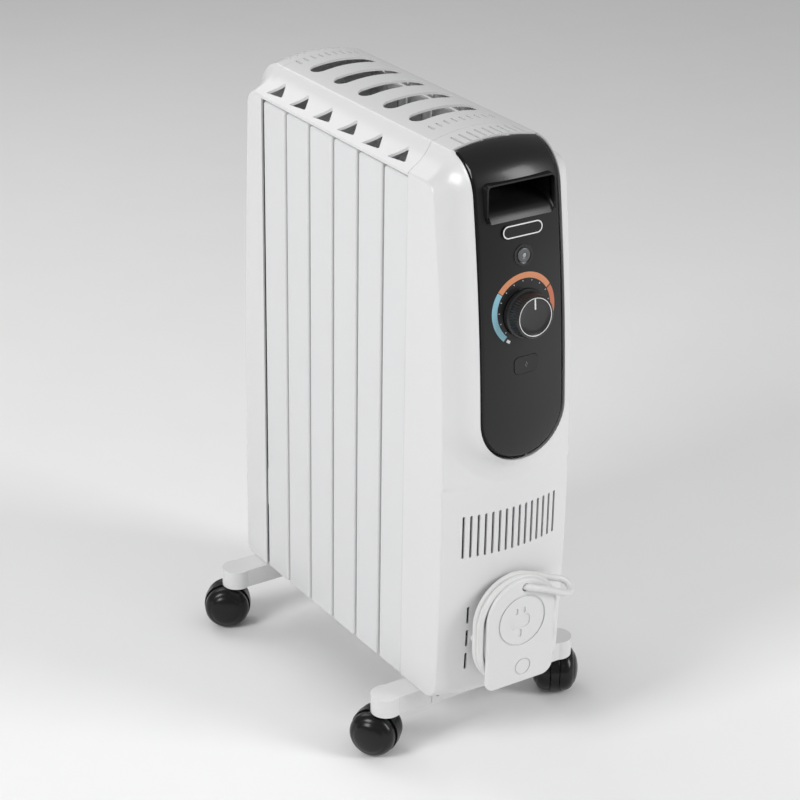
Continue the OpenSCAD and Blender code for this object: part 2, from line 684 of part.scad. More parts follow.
module cord_drum() {
    start = cover_at_drum - 0.2;
    back = cover_at_drum + 26;
    tail_back = cover_at_drum + 12;
    cup_z = drum_low - drum_r + 3;
    pocket_w = plug_r + 4;
    color("white") difference() {
        union() {
            difference() {
                racetrack(drum_r, start, start - plate_back, drum_drop);
                racetrack(drum_r - 2, start + 1, start + 2 - plate_back, drum_drop);
            }
            translate([-pocket_w, start - 1.3, cup_z]) cube([2 * pocket_w, back - start + 1.3, 66]);
            translate([-tail_half - 2, start, drum_high])
                cube([2 * tail_half + 4, tail_back - start, tail_z - drum_high + 6]);
            racetrack(drum_r - 1, start, 1.6, drum_drop);
            for (s = [-1, 1]) translate([s * screw_x, start, screw_z]) rotate([90, 0, 0])
                cylinder(r = 4, h = start - plate_back);
        }
        translate([2 - pocket_w, start - 2.8, cup_z + 2]) cube([2 * pocket_w - 4, back - start + 0.8, 62]);
        translate([-tail_half, start - 2.8, drum_high - 2])
            cube([2 * tail_half, tail_back - start + 0.8, tail_z - drum_high + 6]);
        for (s = [-1, 1]) translate([s * screw_x, start - 4, screw_z]) rotate([90, 0, 0])
            cylinder(r = 1.65, h = 30);
    }
}

// Teardrop plate with a raised blank ring and a small ring below it
module cord_plate() {
    color("white") difference() {
        union() {
            translate([0, plate_back, 0]) rotate([90, 0, 0]) linear_extrude(plate_t) plate_outline();
            translate([0, plate_back - plate_t + eps, drum_low + 25.5]) rotate([90, 0, 0])
                ring(28, 26.8, 0.4);
            translate([3, plate_back - plate_t + eps, plate_bottom + 17.5]) rotate([90, 0, 0])
                ring(9.5, 8.5, 0.4);
        }
        translate([3.5, plate_back + 1, tail_z]) rotate([90, 0, 0])
            cylinder(r = cord_d / 2 + 0.8, h = plate_t + 3);
        for (s = [-1, 1]) translate([s * screw_x, plate_back + 1, screw_z]) rotate([90, 0, 0])
            cylinder(r = 1.7, h = plate_t + 3);
    }
}

module plate_outline() {
    corner = 9;
    union() {
        translate([0, plate_top - plate_half]) circle(plate_half, $fn = 64);
        translate([-plate_half, plate_bottom + corner])
            square([2 * plate_half, plate_top - plate_half - plate_bottom - corner]);
        translate([corner - plate_half, plate_bottom]) square([2 * (plate_half - corner), corner + 1]);
        for (s = [-1, 1]) translate([s * (plate_half - corner), plate_bottom + corner]) circle(corner);
    }
}

module ring(outer, inner, h) {
    difference() {
        cylinder(r = outer, h = h);
        translate([0, 0, -1]) cylinder(r = inner, h = h + 2);
    }
}

// Tapered strain relief: comes through the cover and turns up along the drum's inner layer
module cord_gland() {
    color("whitesmoke") translate([gland_x, wind_back, gland_z]) union() {
        translate([0, 14, 0]) rotate([90, 0, 0]) cylinder(r = 3.8, h = 14 + cord_d / 2);
        translate([0, -cord_d / 2, -5.5]) cylinder(r1 = 4.1, r2 = cord_d / 2 + 0.2, h = 31);
    }
}

// Sweeps an eight sided tube of radius r along the points of a route
module swept_tube(route, r) {
    n = len(route);
    sides = 8;
    way = [for (i = [0:n - 1]) route[min(i + 1, n - 1)] - route[max(i - 1, 0)]];
    up = [0, -0.35, 1];
    rings = [for (i = [0:n - 1]) let (
            t = way[i] / norm(way[i]), flat = cross(t, abs(t * up) > 0.9 ? [1, 0, 0] : up),
            a = flat / norm(flat), b = cross(t, a))
        for (k = [0:sides - 1]) route[i] + r * (cos(k * 360 / sides) * a + sin(k * 360 / sides) * b)];
    walls = [for (i = [0:n - 2]) for (k = [0:sides - 1]) for (tri = [0:1]) let (
            a = i * sides + k, b = i * sides + (k + 1) % sides)
        tri == 0 ? [a, a + sides, b + sides] : [a, b + sides, b]];
    ends = [[for (k = [0:sides - 1]) k], [for (k = [sides - 1:-1:0]) (n - 1) * sides + k]];
    polyhedron(rings, concat(walls, ends), convexity = 6);
}

module power_cord() {
    color("white") swept_tube(CORD, cord_d / 2);
}

module cord_winding() {
    color("gainsboro") difference() {
        racetrack(wind_out, wind_back, wind_d);
        racetrack(wind_in, wind_back + 1, wind_d + 2, drum_drop);
        translate([3, wind_back - wind_d / 2, tail_z]) rotate([90, 0, 0])
            rounded_slot(drum_drop + 0.4, 18, wind_d + 2, true);
    }
}

module plug_body() {
    color("white") translate([0, plug_y, plug_base]) union() {
        cylinder(r = plug_r, h = plug_len - 12);
        translate([0, 0, plug_len - 12 - eps]) cylinder(r1 = plug_r, r2 = 8, h = 12);
        translate([0, 0, plug_len - 2 * eps])
            cylinder(r1 = 6, r2 = cord_d / 2 + 0.4, h = CORD[0][2] - plug_base - plug_len);
    }
}

module plug_pins() {
    color("silver") for (s = [-1, 1]) translate([s * 9.5, plug_y, plug_base - 15])
        cylinder(r = 2.4, h = 15);
}

// ---- feet and casters ----

module foot(y) {
    r = foot_width / 2;
    color("white") difference() {
        translate([0, y, arm_z]) linear_extrude(foot_height) union() {
            square([2 * swivel_x, foot_width - 3], center = true);
            for (s = [-1, 1]) translate([s * swivel_x, 0]) circle(r, $fn = 64);
        }
        for (s = [-1, 1]) {
            translate([s * swivel_x, y, arm_z - 1]) cylinder(r = stem_r + fit, h = 15);
            translate([s * foot_screw_x, y, arm_z - 1]) cylinder(r = foot_bore_r, h = foot_height + 2);
            translate([s * foot_screw_x, y, arm_z - 1]) cylinder(r = head_r + 1, h = head_z + head_h + 1.4);
        }
    }
}

module front_foot() {
    foot(front_foot_y);
}

module rear_foot() {
    foot(rear_foot_y);
}

bracket_z = body_clearance + cover_wall + 0.5;

// Steel straps from the feet to saddles under the end fins' headers
module foot_brackets() {
    plate = 2;
    inset = 14;
    reach = 8;
    color("silver") for (s = [-1, 1]) {
        y_foot = s < 0 ? front_foot_y : rear_foot_y;
        y_saddle = s < 0 ? stack_front + inset : stack_rear - inset - plate;
        start = min(y_foot - reach, y_saddle);
        difference() {
            union() {
                translate([-30, start, bracket_z])
                    cube([60, max(y_foot + reach, y_saddle + plate) - start, plate]);
                translate([-18, y_saddle, bracket_z]) cube([36, plate, header_low - bracket_z]);
            }
            translate([0, y_saddle + plate + 1, header_low]) rotate([90, 0, 0])
                cylinder(r = header_r, h = plate + 2);
            for (e = [-1, 1]) translate([e * foot_screw_x, y_foot, bracket_z - 1])
                cylinder(r = foot_screw_r + fit, h = 4);
        }
    }
}

module foot_screws() {
    color("silver") for (y = [front_foot_y, rear_foot_y], s = [-1, 1])
        translate([s * foot_screw_x, y, arm_z + head_z]) {
            cylinder(r = head_r, h = head_h);
            cylinder(r = foot_screw_r, h = bracket_z + 6 - arm_z - head_z);
        }
}

module cover_screws() {
    color("silver") {
        for (s = [-1, 1]) translate([s * screw_x, plate_back - 3, screw_z]) rotate([-90, 0, 0])
            cylinder(r = 1.6, h = 10);
    }
}

// A caster in its own place: swivel axis, ball centre behind it by the trail, axle along X
module caster_place(c) {
    side = c[0];
    y = c[1] < 0 ? front_foot_y : rear_foot_y;
    translate([side * swivel_x, y, 0]) rotate([0, 0, c[2]]) children();
}

module caster_hood(c) {
    color([0.05, 0.05, 0.05]) caster_place(c) difference() {
        union() {
            intersection() {
                translate([0, caster_trail, wheel_r]) rotate([0, 90, 0])
                    cylinder(r = wheel_r + 1.2, h = 8.4, center = true);
                translate([-10, caster_trail - 40, 5]) cube([20, 80, hood_top - 5]);
            }
            translate([0, 0, hood_top - 9]) cylinder(r = 4.2, h = 9);
        }
        translate([0, 0, hood_top - 20]) cylinder(r = stem_r - 1.2 + fit, h = 30);
        translate([0, caster_trail, wheel_r]) rotate([0, 90, 0])
            cylinder(r = axle_r + fit, h = 20, center = true);
    }
}

module caster_stem(c) {
    color("silver") caster_place(c) union() {
        translate([0, 0, hood_top + 0.05]) cylinder(r = stem_r, h = 13);
        translate([0, 0, hood_top - 12]) cylinder(r = stem_r - 1.2, h = 13);
    }
}

module caster_wheels(c) {
    dome = 13.5;
    flat = 11;
    inner = 4.8;
    color([0.05, 0.05, 0.05]) caster_place(c) translate([0, caster_trail, wheel_r]) rotate([0, 90, 0])
        for (s = [0, 180]) rotate([s, 0, 0]) rotate_extrude($fn = 96) polygon(concat(
            [[axle_r, inner], [wheel_r, inner], [wheel_r, flat]],
            [for (i = [1:8]) [wheel_r * cos(i * 10), flat + dome * sin(i * 10)]],
            [[0, flat + dome], [0, flat + 4], [axle_r, flat + 4]]));
}

module caster_axle(c) {
    color("silver") caster_place(c) translate([0, caster_trail, wheel_r]) rotate([0, 90, 0])
        cylinder(r = axle_r, h = 29.8, center = true);
}

fin(1);  // fin_1
fin(2);  // fin_2
fin(3);  // fin_3
fin(4);  // fin_4
fin(5);  // fin_5
fin(6);  // fin_6
header_plugs();
heating_element();
element_gasket();
top_grille();
front_cover();
rear_cover();
control_panel();
handle_pocket();
badge_plate();
dial_ring();
thermostat_knob();
knob_marking();
knob_spindle();
thermostat_body();
spindle_nut();
power_button();
power_bezel();
pilot_lens();
mode_button();
button_springs();
control_board();
room_sensor();
cord_drum();
cord_plate();
cord_gland();
power_cord();
cord_winding();
plug_body();
plug_pins();
front_foot();
rear_foot();
foot_brackets();
foot_screws();
cover_screws();
caster_hood(CASTERS[0]);  // caster_fl_hood
caster_stem(CASTERS[0]);  // caster_fl_stem
caster_wheels(CASTERS[0]);  // caster_fl_wheels
caster_axle(CASTERS[0]);  // caster_fl_axle
caster_hood(CASTERS[1]);  // caster_fr_hood
caster_stem(CASTERS[1]);  // caster_fr_stem
caster_wheels(CASTERS[1]);  // caster_fr_wheels
caster_axle(CASTERS[1]);  // caster_fr_axle
caster_hood(CASTERS[2]);  // caster_rl_hood
caster_stem(CASTERS[2]);  // caster_rl_stem
caster_wheels(CASTERS[2]);  // caster_rl_wheels
caster_axle(CASTERS[2]);  // caster_rl_axle
caster_hood(CASTERS[3]);  // caster_rr_hood
caster_stem(CASTERS[3]);  // caster_rr_stem
caster_wheels(CASTERS[3]);  // caster_rr_wheels
caster_axle(CASTERS[3]);  // caster_rr_axle
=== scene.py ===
import math

import bmesh
import bpy
from mathutils import Matrix, Vector


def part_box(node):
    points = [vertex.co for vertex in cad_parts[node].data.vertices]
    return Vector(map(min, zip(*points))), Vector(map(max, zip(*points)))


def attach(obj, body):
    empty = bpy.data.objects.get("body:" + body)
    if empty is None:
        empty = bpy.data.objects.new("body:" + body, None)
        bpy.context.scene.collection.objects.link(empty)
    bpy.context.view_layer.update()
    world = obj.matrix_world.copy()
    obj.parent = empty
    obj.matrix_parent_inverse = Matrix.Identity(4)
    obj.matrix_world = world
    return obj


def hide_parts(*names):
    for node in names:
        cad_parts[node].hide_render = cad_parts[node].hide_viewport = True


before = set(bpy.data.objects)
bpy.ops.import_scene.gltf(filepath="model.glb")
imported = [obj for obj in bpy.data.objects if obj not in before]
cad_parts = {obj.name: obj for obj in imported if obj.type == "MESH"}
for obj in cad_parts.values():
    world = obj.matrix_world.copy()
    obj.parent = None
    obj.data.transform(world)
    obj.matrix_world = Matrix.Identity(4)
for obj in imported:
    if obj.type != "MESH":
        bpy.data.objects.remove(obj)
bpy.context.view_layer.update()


# ---- Studio ----
# A pale seamless floor, a soft key lamp from the left, a fill from the right, a weaker lamp from
# behind and above, and an even pale room. The camera stands about two and a half metres away.
CAMERA_PLACE = (-1.19983, -1.80129, 1.33139)
CAMERA_TURN = (64.8607, -0.7414, -33.0871)
LENS_MM, SENSOR_MM = 105.53, 36.0
HEATER_MIDDLE = (0, 0, 0.33)
ROOM_LIGHT = 0.34
FLOOR_HALF = 6
scene = bpy.context.scene
camera = bpy.data.objects.new("studio_camera", bpy.data.cameras.new("studio_camera"))
camera.location = CAMERA_PLACE
camera.rotation_euler = [math.radians(a) for a in CAMERA_TURN]
camera.data.lens, camera.data.sensor_width = LENS_MM, SENSOR_MM
camera.data.clip_start = 0.05
scene.collection.objects.link(camera)
scene.camera = camera
scene.view_settings.view_transform = "Standard"


def lamp(name, place, target, size, power):
    light = bpy.data.lights.new(name, "AREA")
    light.shape = "RECTANGLE"
    light.size, light.size_y = size
    light.energy = power
    holder = bpy.data.objects.new(name, light)
    holder.location = place
    holder.rotation_euler = (Vector(target) - Vector(place)).to_track_quat("-Z", "Y").to_euler()
    scene.collection.objects.link(holder)


lamp("key_softbox", (-2.2, -0.3, 1.7), HEATER_MIDDLE, (0.9, 1.2), 34)
lamp("fill_softbox", (1.5, -2.0, 1.5), HEATER_MIDDLE, (0.8, 1.4), 34)
lamp("top_softbox", (-0.3, 1.9, 2.0), HEATER_MIDDLE, (1.4, 1.4), 12)
world = bpy.data.worlds.new("pale_room")
world.use_nodes = True
world.node_tree.nodes["Background"].inputs["Color"].default_value = (1.0, 1.0, 1.0, 1)
world.node_tree.nodes["Background"].inputs["Strength"].default_value = ROOM_LIGHT
scene.world = world


class Signal:
    """The output of a node, on which sums can be written as on a number."""

    def __init__(self, finish, socket):
        self.finish, self.socket = finish, socket

    def _sum(self, operation, first, second):
        return self.finish.node("ShaderNodeMath", {"operation": operation}, {0: first, 1: second})

    def __add__(self, other):
        return self._sum("ADD", self, other)

    __radd__ = __add__

    def __sub__(self, other):
        return self._sum("SUBTRACT", self, other)

    def __rsub__(self, other):
        return self._sum("SUBTRACT", other, self)

    def __mul__(self, other):
        return self._sum("MULTIPLY", self, other)

    __rmul__ = __mul__


class Finish:
    """A material with one Principled shader, and a method that adds any other node."""

    def __init__(self, name, colour, roughness, **constants):
        self.material = bpy.data.materials.new(name)
        self.material.use_nodes = True
        self.tree = self.material.node_tree
        self.shader = self.tree.nodes["Principled BSDF"]
        self.shader.inputs["Base Color"].default_value = (*colour, 1)
        self.shader.inputs["Roughness"].default_value = roughness
        for socket, value in constants.items():
            self.shader.inputs[socket.replace("_", " ")].default_value = value
        self.colour = colour
        self.place = self.node("ShaderNodeTexCoord", {}, {}, "Object")

    def node(self, kind, settings, inputs, output=0):
        made = self.tree.nodes.new(kind)
        for name, value in settings.items():
            setattr(made, name, value)
        for name, value in inputs.items():
            if isinstance(value, Signal):
                self.tree.links.new(value.socket, made.inputs[name])
            else:
                made.inputs[name].default_value = value
        return Signal(self, made.outputs[output])

    def noise(self, scale, detail=2.0, stretch=(1, 1, 1)):
        where = self.node("ShaderNodeMapping", {}, {"Vector": self.place, "Scale": stretch})
        return self.node("ShaderNodeTexNoise", {}, {"Vector": where, "Scale": scale, "Detail": detail})

    def shade(self, factor, other):
        """Base colour that goes from the finish's own colour to another one."""
        # The Mix node's inputs 0, 6 and 7 are its factor and two colours; its output 2 is a colour.
        colours = {0: factor, 6: (*self.colour, 1), 7: (*other, 1)}
        self.feed("Base Color", self.node("ShaderNodeMix", {"data_type": "RGBA"}, colours, 2))

    def feed(self, socket, signal):
        self.tree.links.new(signal.socket, self.shader.inputs[socket])

    def grain(self, height, depth):
        bump = self.node("ShaderNodeBump", {}, {"Height": height, "Distance": depth, "Strength": 1.0})
        self.feed("Normal", bump)


MILLIMETRE = 0.001
SLOW_WAVES, SLOW_DEPTH, SLOW_SHADE = 9.0, 4, 0.965


def moulded(name, colour, roughness, grain_size=0.0009, grain_depth=0.00002, shift=0.04, **constants):
    """Moulded or enamelled surface: fine grain, slow waviness, and gloss that varies a little."""
    finish = Finish(name, colour, roughness, **constants)
    fine = finish.noise(1 / grain_size, 3.0)
    slow = finish.noise(SLOW_WAVES, 2.0)
    finish.feed("Roughness", (slow - 0.5) * shift * 2 + (fine - 0.5) * shift + roughness)
    finish.shade(slow, [c * SLOW_SHADE for c in colour])
    fine_height = grain_depth / MILLIMETRE
    finish.grain(fine * fine_height + slow * (fine_height * SLOW_DEPTH), MILLIMETRE)
    return finish


def piece(name, bm, finishes, body, nodes, smooth_angle=32):
    """Makes the finished mesh of a real piece, shades it, and lets it ride on its body."""
    mesh = bpy.data.meshes.new(name)
    bmesh.ops.remove_doubles(bm, verts=bm.verts, dist=1e-6)
    for face in bm.faces:
        face.smooth = True
    for edge in bm.edges:
        edge.smooth = len(edge.link_faces) == 2 and edge.calc_face_angle(0) < math.radians(smooth_angle)
    bm.to_mesh(mesh)
    bm.free()
    made = bpy.data.objects.new(name, mesh)
    scene.collection.objects.link(made)
    for finish in finishes if isinstance(finishes, list) else [finishes]:
        mesh.materials.append(finish.material)
    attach(made, body)
    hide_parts(*nodes)
    return made


floor_finish = moulded("floor_paper", (0.96, 0.96, 0.96), 0.75, grain_depth=0.00001)
floor_mesh = bmesh.new()
bmesh.ops.create_grid(floor_mesh, x_segments=1, y_segments=1, size=FLOOR_HALF)
floor_plane = bpy.data.meshes.new("floor")
floor_mesh.to_mesh(floor_plane)
floor_mesh.free()
floor_plane.materials.append(floor_finish.material)
floor_sheet = bpy.data.objects.new("floor", floor_plane)
scene.collection.objects.link(floor_sheet)


# ---- Mains cord ----
# 7 mm round cable in white PVC. It leaves the cover through a moulded gland beside the drum, is
# wound on the drum in two layers, and its last stretch comes round the plate's edge to the plug.
CORD_D, CORD_LENGTH = 0.007, 1.13
WIND_BACK, WIND_STEP = -0.1919, 0.00706
INNER_R, OUTER_R = 0.0372, 0.04425
DRUM_LOW, DRUM_HIGH, DRUM_DROP = 0.1347, 0.1595, 0.008
STEPS_A_TURN, FIRST_STEP, END_STEP = 36, 4, 119
FREE_STRETCH = [
    (0.022, -0.1918, 0.1978), (0.036, -0.1918, 0.1915), (0.048, -0.1918, 0.1865), (0.058, -0.1935, 0.1825),
    (0.062, -0.198, 0.1785), (0.060, -0.2045, 0.1755), (0.053, -0.2095, 0.1765), (0.042, -0.2105, 0.181),
    (0.028, -0.2105, 0.188), (0.016, -0.2105, 0.193), (0.008, -0.2088, 0.1955), (0.0035, -0.2035, 0.196),
    (0.0025, -0.197, 0.1965), (0.0015, -0.190, 0.1965), (0.0005, -0.1845, 0.1935), (0, -0.1832, 0.188),
    (0, -0.1832, 0.181),
]


def drum_point(turn, radius, depth, drop):
    """A point on the drum's outline. Turn 0 is the left side, and turns run over the top."""
    straight = DRUM_HIGH - drop - DRUM_LOW
    length = 2 * math.pi * radius + 2 * straight
    s = (turn % 1) * length
    if s < straight / 2:
        return (-radius, depth, (DRUM_LOW + DRUM_HIGH - drop) / 2 + s)
    s -= straight / 2
    if s < math.pi * radius:
        a = math.pi - s / radius
        return (radius * math.cos(a), depth, DRUM_HIGH - drop + radius * math.sin(a))
    s -= math.pi * radius
    if s < straight:
        return (radius, depth, DRUM_HIGH - drop - s)
    s -= straight
    if s < math.pi * radius:
        a = -s / radius
        return (radius * math.cos(a), depth, DRUM_LOW + radius * math.sin(a))
    return (-radius, depth, DRUM_LOW + s - math.pi * radius)


def ease(t, start, end):
    t = max(0.0, min(1.0, (t - start) / (end - start)))
    return t * t * (3 - 2 * t)


# The strand lies at the back of the inner layer, then at its front, then at the front of the outer
# layer and at last at its back. Each change takes a fifth of a turn. The last points, which the
# free stretch takes over, are dropped.
cord_route = []
for step in range(FIRST_STEP, END_STEP):
    turn = step / STEPS_A_TURN
    forward = ease(turn, 0.62, 0.82) - ease(turn, 2.42, 2.62)
    outward = ease(turn, 1.36, 1.56)
    cord_route.append(drum_point(turn, INNER_R + (OUTER_R - INNER_R) * outward,
                                 WIND_BACK - WIND_STEP * forward, DRUM_DROP * (1 - outward)))
while not -0.05 <= cord_route[-1][0] <= 0.008:
    cord_route.pop()
cord_route = [(-0.0377, WIND_BACK, 0.1645)] + cord_route + FREE_STRETCH

cord_white = moulded("cord_pvc", (0.74, 0.74, 0.735), 0.42, grain_size=0.0004, grain_depth=0.000008)
cord_curve = bpy.data.curves.new("mains_cord", "CURVE")
cord_curve.dimensions = "3D"
cord_curve.bevel_depth = CORD_D / 2
cord_curve.bevel_resolution = 5
cord_curve.resolution_u = 6
cord_curve.use_fill_caps = True
spline = cord_curve.splines.new("BEZIER")
spline.bezier_points.add(len(cord_route) - 1)
for point, place in zip(spline.bezier_points, cord_route):
    point.co = place
    point.handle_left_type = point.handle_right_type = "AUTO"
cord_curve.materials.append(cord_white.material)
mains_cord = bpy.data.objects.new("mains_cord", cord_curve)
scene.collection.objects.link(mains_cord)
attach(mains_cord, "root")
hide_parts("power_cord", "cord_winding")
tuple(cord_route[0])


# ---- Front cover ----
# Glossy white moulded shell, 2.4 mm thick. It clips on the first fin and carries the control panel
# on a raised spine; slots let the warm air out above and cool air in below.
HALF_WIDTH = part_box("front_cover")[1].x
SPINE_HALF, SPINE_RISE, ARCH = 0.050, 0.0255, 0.0075
TOP_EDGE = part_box("front_cover")[1].z - SPINE_RISE - ARCH
LOW_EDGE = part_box("front_cover")[0].z
CROWN_TOP = TOP_EDGE + SPINE_RISE + ARCH
SHOULDER = HALF_WIDTH - SPINE_HALF
COVER_WALL = 0.0024
SPINE_Z = 0.382
SLOT_W, SLOT_PITCH = 0.003, 0.0085
LOUVRE_W, LOUVRE_LEN, LOUVRE_PITCH = 0.0028, 0.046, 0.00764
FINE_COLUMNS = [0.0025 * i for i in range(18)] + [
    0.0445, 0.0465, 0.048, 0.0492, 0.05, 0.0508, 0.052, 0.0535, 0.055, 0.057, 0.0595, 0.062,
    0.0645, 0.067, 0.0695, 0.072, 0.0737, 0.075]


class CoverShape:
    """The bulged side edge of a cover that faces -Y, and how far its face stands out from it."""

    def __init__(self, seam, depth, bulge, corners, spine_z, plan_r, fade):
        self.seam, self.edge = seam, seam - depth
        self.bulge_z, self.bulge_r, self.low_r = bulge
        self.top_r, self.foot_r = corners
        self.spine_z, self.plan_r, self.fade = spine_z, plan_r, fade
        top_z = TOP_EDGE - self.top_r
        low_z = LOW_EDGE + self.foot_r
        self.top = (self.arc_y(top_z, self.top_r), top_z)
        self.foot = (self.arc_y(low_z, self.foot_r), low_z)
        self.top_angle = math.asin((top_z - self.bulge_z) / (self.bulge_r - self.top_r))
        self.high = top_z + self.top_r * math.sin(self.top_angle)

    def arc_y(self, z, inset=0.0):
        r = self.bulge_r if z > self.bulge_z else self.low_r
        return self.edge + r - math.sqrt((r - inset) ** 2 - (z - self.bulge_z) ** 2)

    def face_station(self, z, share=1.0):
        lean = max(z - self.bulge_z, 0) / self.bulge_r
        return (self.arc_y(z), z, -math.sqrt(1 - lean * lean), lean, share)

    def corner_station(self, angle, share=1.0):
        y = self.top[0] - self.top_r * math.cos(angle)
        z = self.top[1] + self.top_r * math.sin(angle)
        return (y, z, -math.cos(angle), math.sin(angle), share)

    def stations(self):
        """Places down the side edge: y, z, the direction of standing out, the spine's share."""
        mid, low = self.spine_z + 0.004, self.spine_z - SPINE_HALF - SHOULDER - 0.002
        made = [(self.seam + (self.top[0] - self.seam) * i / 5, TOP_EDGE, 0, 1, 1) for i in range(5)]
        for i in range(17):
            angle = math.pi / 2 + (self.top_angle - math.pi / 2) * i / 16
            made.append(self.corner_station(angle, 1 - self.fade * i / 32))
        for i in range(1, 17):
            z = self.high + (mid - self.high) * i / 16
            made.append(self.face_station(z, 1 - self.fade * (0.5 + i / 80)))
        for i in range(1, 41):
            z = mid + (low - mid) * i / 40
            made.append(self.face_station(z, 1 - self.fade * (0.7 + 0.3 * i / 40)))
        for i in range(1, 9):
            made.append(self.face_station(low + (self.foot[1] - low) * i / 8, 0))
        for i in range(1, 11):
            angle = -math.pi / 20 * i
            made.append((self.foot[0] - self.foot_r * math.cos(angle),
                         self.foot[1] + self.foot_r * math.sin(angle), -1, 0, 0))
        return made

    def stand_off(self, x, z, share):
        flat = (HALF_WIDTH ** 2 - x * x) / (2 * self.plan_r)
        out = math.hypot(x, min(z - self.spine_z, 0)) - SPINE_HALF
        return flat + (self.spine_height(out, flat) - flat) * share

    def spine_height(self, out, flat):
        """Height of the spine's crown or of its shoulder, whichever is lower, with a soft ridge."""
        crown = SPINE_RISE + ARCH * (1 - ((out + SPINE_HALF) / SPINE_HALF) ** 2)
        t = 1 - min(out, SHOULDER) / SHOULDER
        shoulder = flat + (SPINE_RISE - flat) * (0.38 * t + 0.62 * t ** 4)
        softness = 0.0011
        return min(crown, shoulder) - max(softness - abs(crown - shoulder), 0) ** 2 / (4 * softness)

    def place(self, station, x):
        y, z, ny, nz, share = station
        off = self.stand_off(x, z, share) if ny < 0 or nz > 0 else 0
        return Vector((x, y + ny * off, z + nz * off))


def moved_grid(columns, rows, place):
    """A flat grid whose crossings are moved to place(row, column)."""
    bm = bmesh.new()
    bmesh.ops.create_grid(bm, x_segments=columns - 1, y_segments=rows - 1, size=1)
    for v in bm.verts:
        column = round((v.co.x + 1) / 2 * (columns - 1))
        row = round((v.co.y + 1) / 2 * (rows - 1))
        v.co = place(row, column)
    return bm


def solid_object(bm, name="working_solid"):
    mesh = bpy.data.meshes.new(name)
    bm.to_mesh(mesh)
    bm.free()
    made = bpy.data.objects.new(name, mesh)
    scene.collection.objects.link(made)
    return made


def settled(made):
    """The mesh of an object with its modifiers worked out. The object itself goes."""
    shape = made.evaluated_get(bpy.context.evaluated_depsgraph_get())
    bm = bmesh.new()
    bm.from_mesh(shape.to_mesh())
    shape.to_mesh_clear()
    mesh = made.data
    bpy.data.objects.remove(made)
    bpy.data.meshes.remove(mesh)
    return bm


def thickened(bm, wall, outward):
    """Gives an open skin a wall on its inner side. Outward is where most of the skin faces."""
    bmesh.ops.recalc_face_normals(bm, faces=bm.faces)
    if sum(f.calc_area() * f.normal.dot(Vector(outward)) for f in bm.faces) < 0:
        bmesh.ops.reverse_faces(bm, faces=bm.faces)
    made = solid_object(bm)
    solid = made.modifiers.new("wall", "SOLIDIFY")
    solid.thickness, solid.offset = wall, -1
    return settled(made)


def carved(bm, *cutters, operation="DIFFERENCE"):
    made = solid_object(bm)
    tools = [solid_object(cutter, "tool") for cutter in cutters]
    for tool in tools:
        cut = made.modifiers.new("cut", "BOOLEAN")
        cut.object, cut.operation, cut.solver = tool, operation, "EXACT"
    bm = settled(made)
    for tool in tools:
        mesh = tool.data
        bpy.data.objects.remove(tool)
        bpy.data.meshes.remove(mesh)
    return bm


def prism(bm, width, length, depth, place, corner=0.0, segments=6):
    """A bar along the place's own Z axis, with rounded upright edges; round ended if corner is 0."""
    cube = bmesh.ops.create_cube(bm, size=1, matrix=place @ Matrix.Diagonal((width, length, depth, 1)))
    axis = (place.to_3x3() @ Vector((0, 0, 1))).normalized()
    edges = {e for v in cube["verts"] for e in v.link_edges}
    upright = [e for e in edges if abs((e.verts[0].co - e.verts[1].co).normalized().dot(axis)) > 0.99]
    bmesh.ops.bevel(bm, geom=upright, offset=corner or min(width, length) * 0.499, segments=segments,
                    profile=0.5, affect="EDGES", material=-1)


def at(x, y, z, turn=0.0, axis="X"):
    return Matrix.Translation((x, y, z)) @ Matrix.Rotation(math.radians(turn), 4, axis)


def soften(made, width, segments=2, angle=50):
    """Rounds the sharp edges of a finished piece, and keeps its broad faces evenly shaded."""
    bevel = made.modifiers.new("edges", "BEVEL")
    bevel.width, bevel.segments, bevel.limit_method = width, segments, "ANGLE"
    bevel.angle_limit = math.radians(angle)
    made.modifiers.new("even", "WEIGHTED_NORMAL").keep_sharp = True


def both_ways(values):
    """The values of one half, from zero outwards, with their mirrored ones before them."""
    return [-v for v in reversed(values[1:])] + values


def cover_shell(shape):
    """Face, sides and underside of a cover as one walled shell, open towards the fins."""
    xs = both_ways(FINE_COLUMNS)
    rows = shape.stations()
    seam_row = len(rows)
    bm = moved_grid(len(xs), seam_row + 1, lambda row, column: shape.place(rows[row], xs[column])
                    if row < seam_row else Vector((xs[column], shape.seam, LOW_EDGE)))
    for side in (-1, 1):
        edge = [e for e in bm.edges if len(e.link_faces) == 1
                and all(abs(v.co.x - side * HALF_WIDTH) < 1e-6 for v in e.verts)]
        ends = [v for v in bm.verts if abs(v.co.x - side * HALF_WIDTH) < 1e-6
                and abs(v.co.y - shape.seam) < 1e-6]
        bmesh.ops.edgeloop_fill(bm, edges=edge + [bm.edges.new(ends)])
    bm = thickened(bm, COVER_WALL, (0, -1, 0))
    creases = [e for e in bm.edges if e.calc_face_angle(0) > 0.6
               and all(abs(v.co.x) > HALF_WIDTH - 1e-6 for v in e.verts)
               and not all(abs(v.co.y - shape.seam) < 1e-6 for v in e.verts)]
    bmesh.ops.bevel(bm, geom=creases, offset=0.0014, segments=3, profile=0.5, affect="EDGES", material=-1)
    return bm


def slot_row(bm, y, length, depth):
    """Fine slots side by side across the crown."""
    for i in range(-4, 5):
        prism(bm, SLOT_W, length, depth, at(i * SLOT_PITCH, y, CROWN_TOP))


def louvre_row(bm, y, z):
    """Upright slots side by side across a cover's face."""
    for i in range(-7, 8):
        prism(bm, LOUVRE_W, LOUVRE_LEN, 0.04, at(i * LOUVRE_PITCH, y, z, 90))


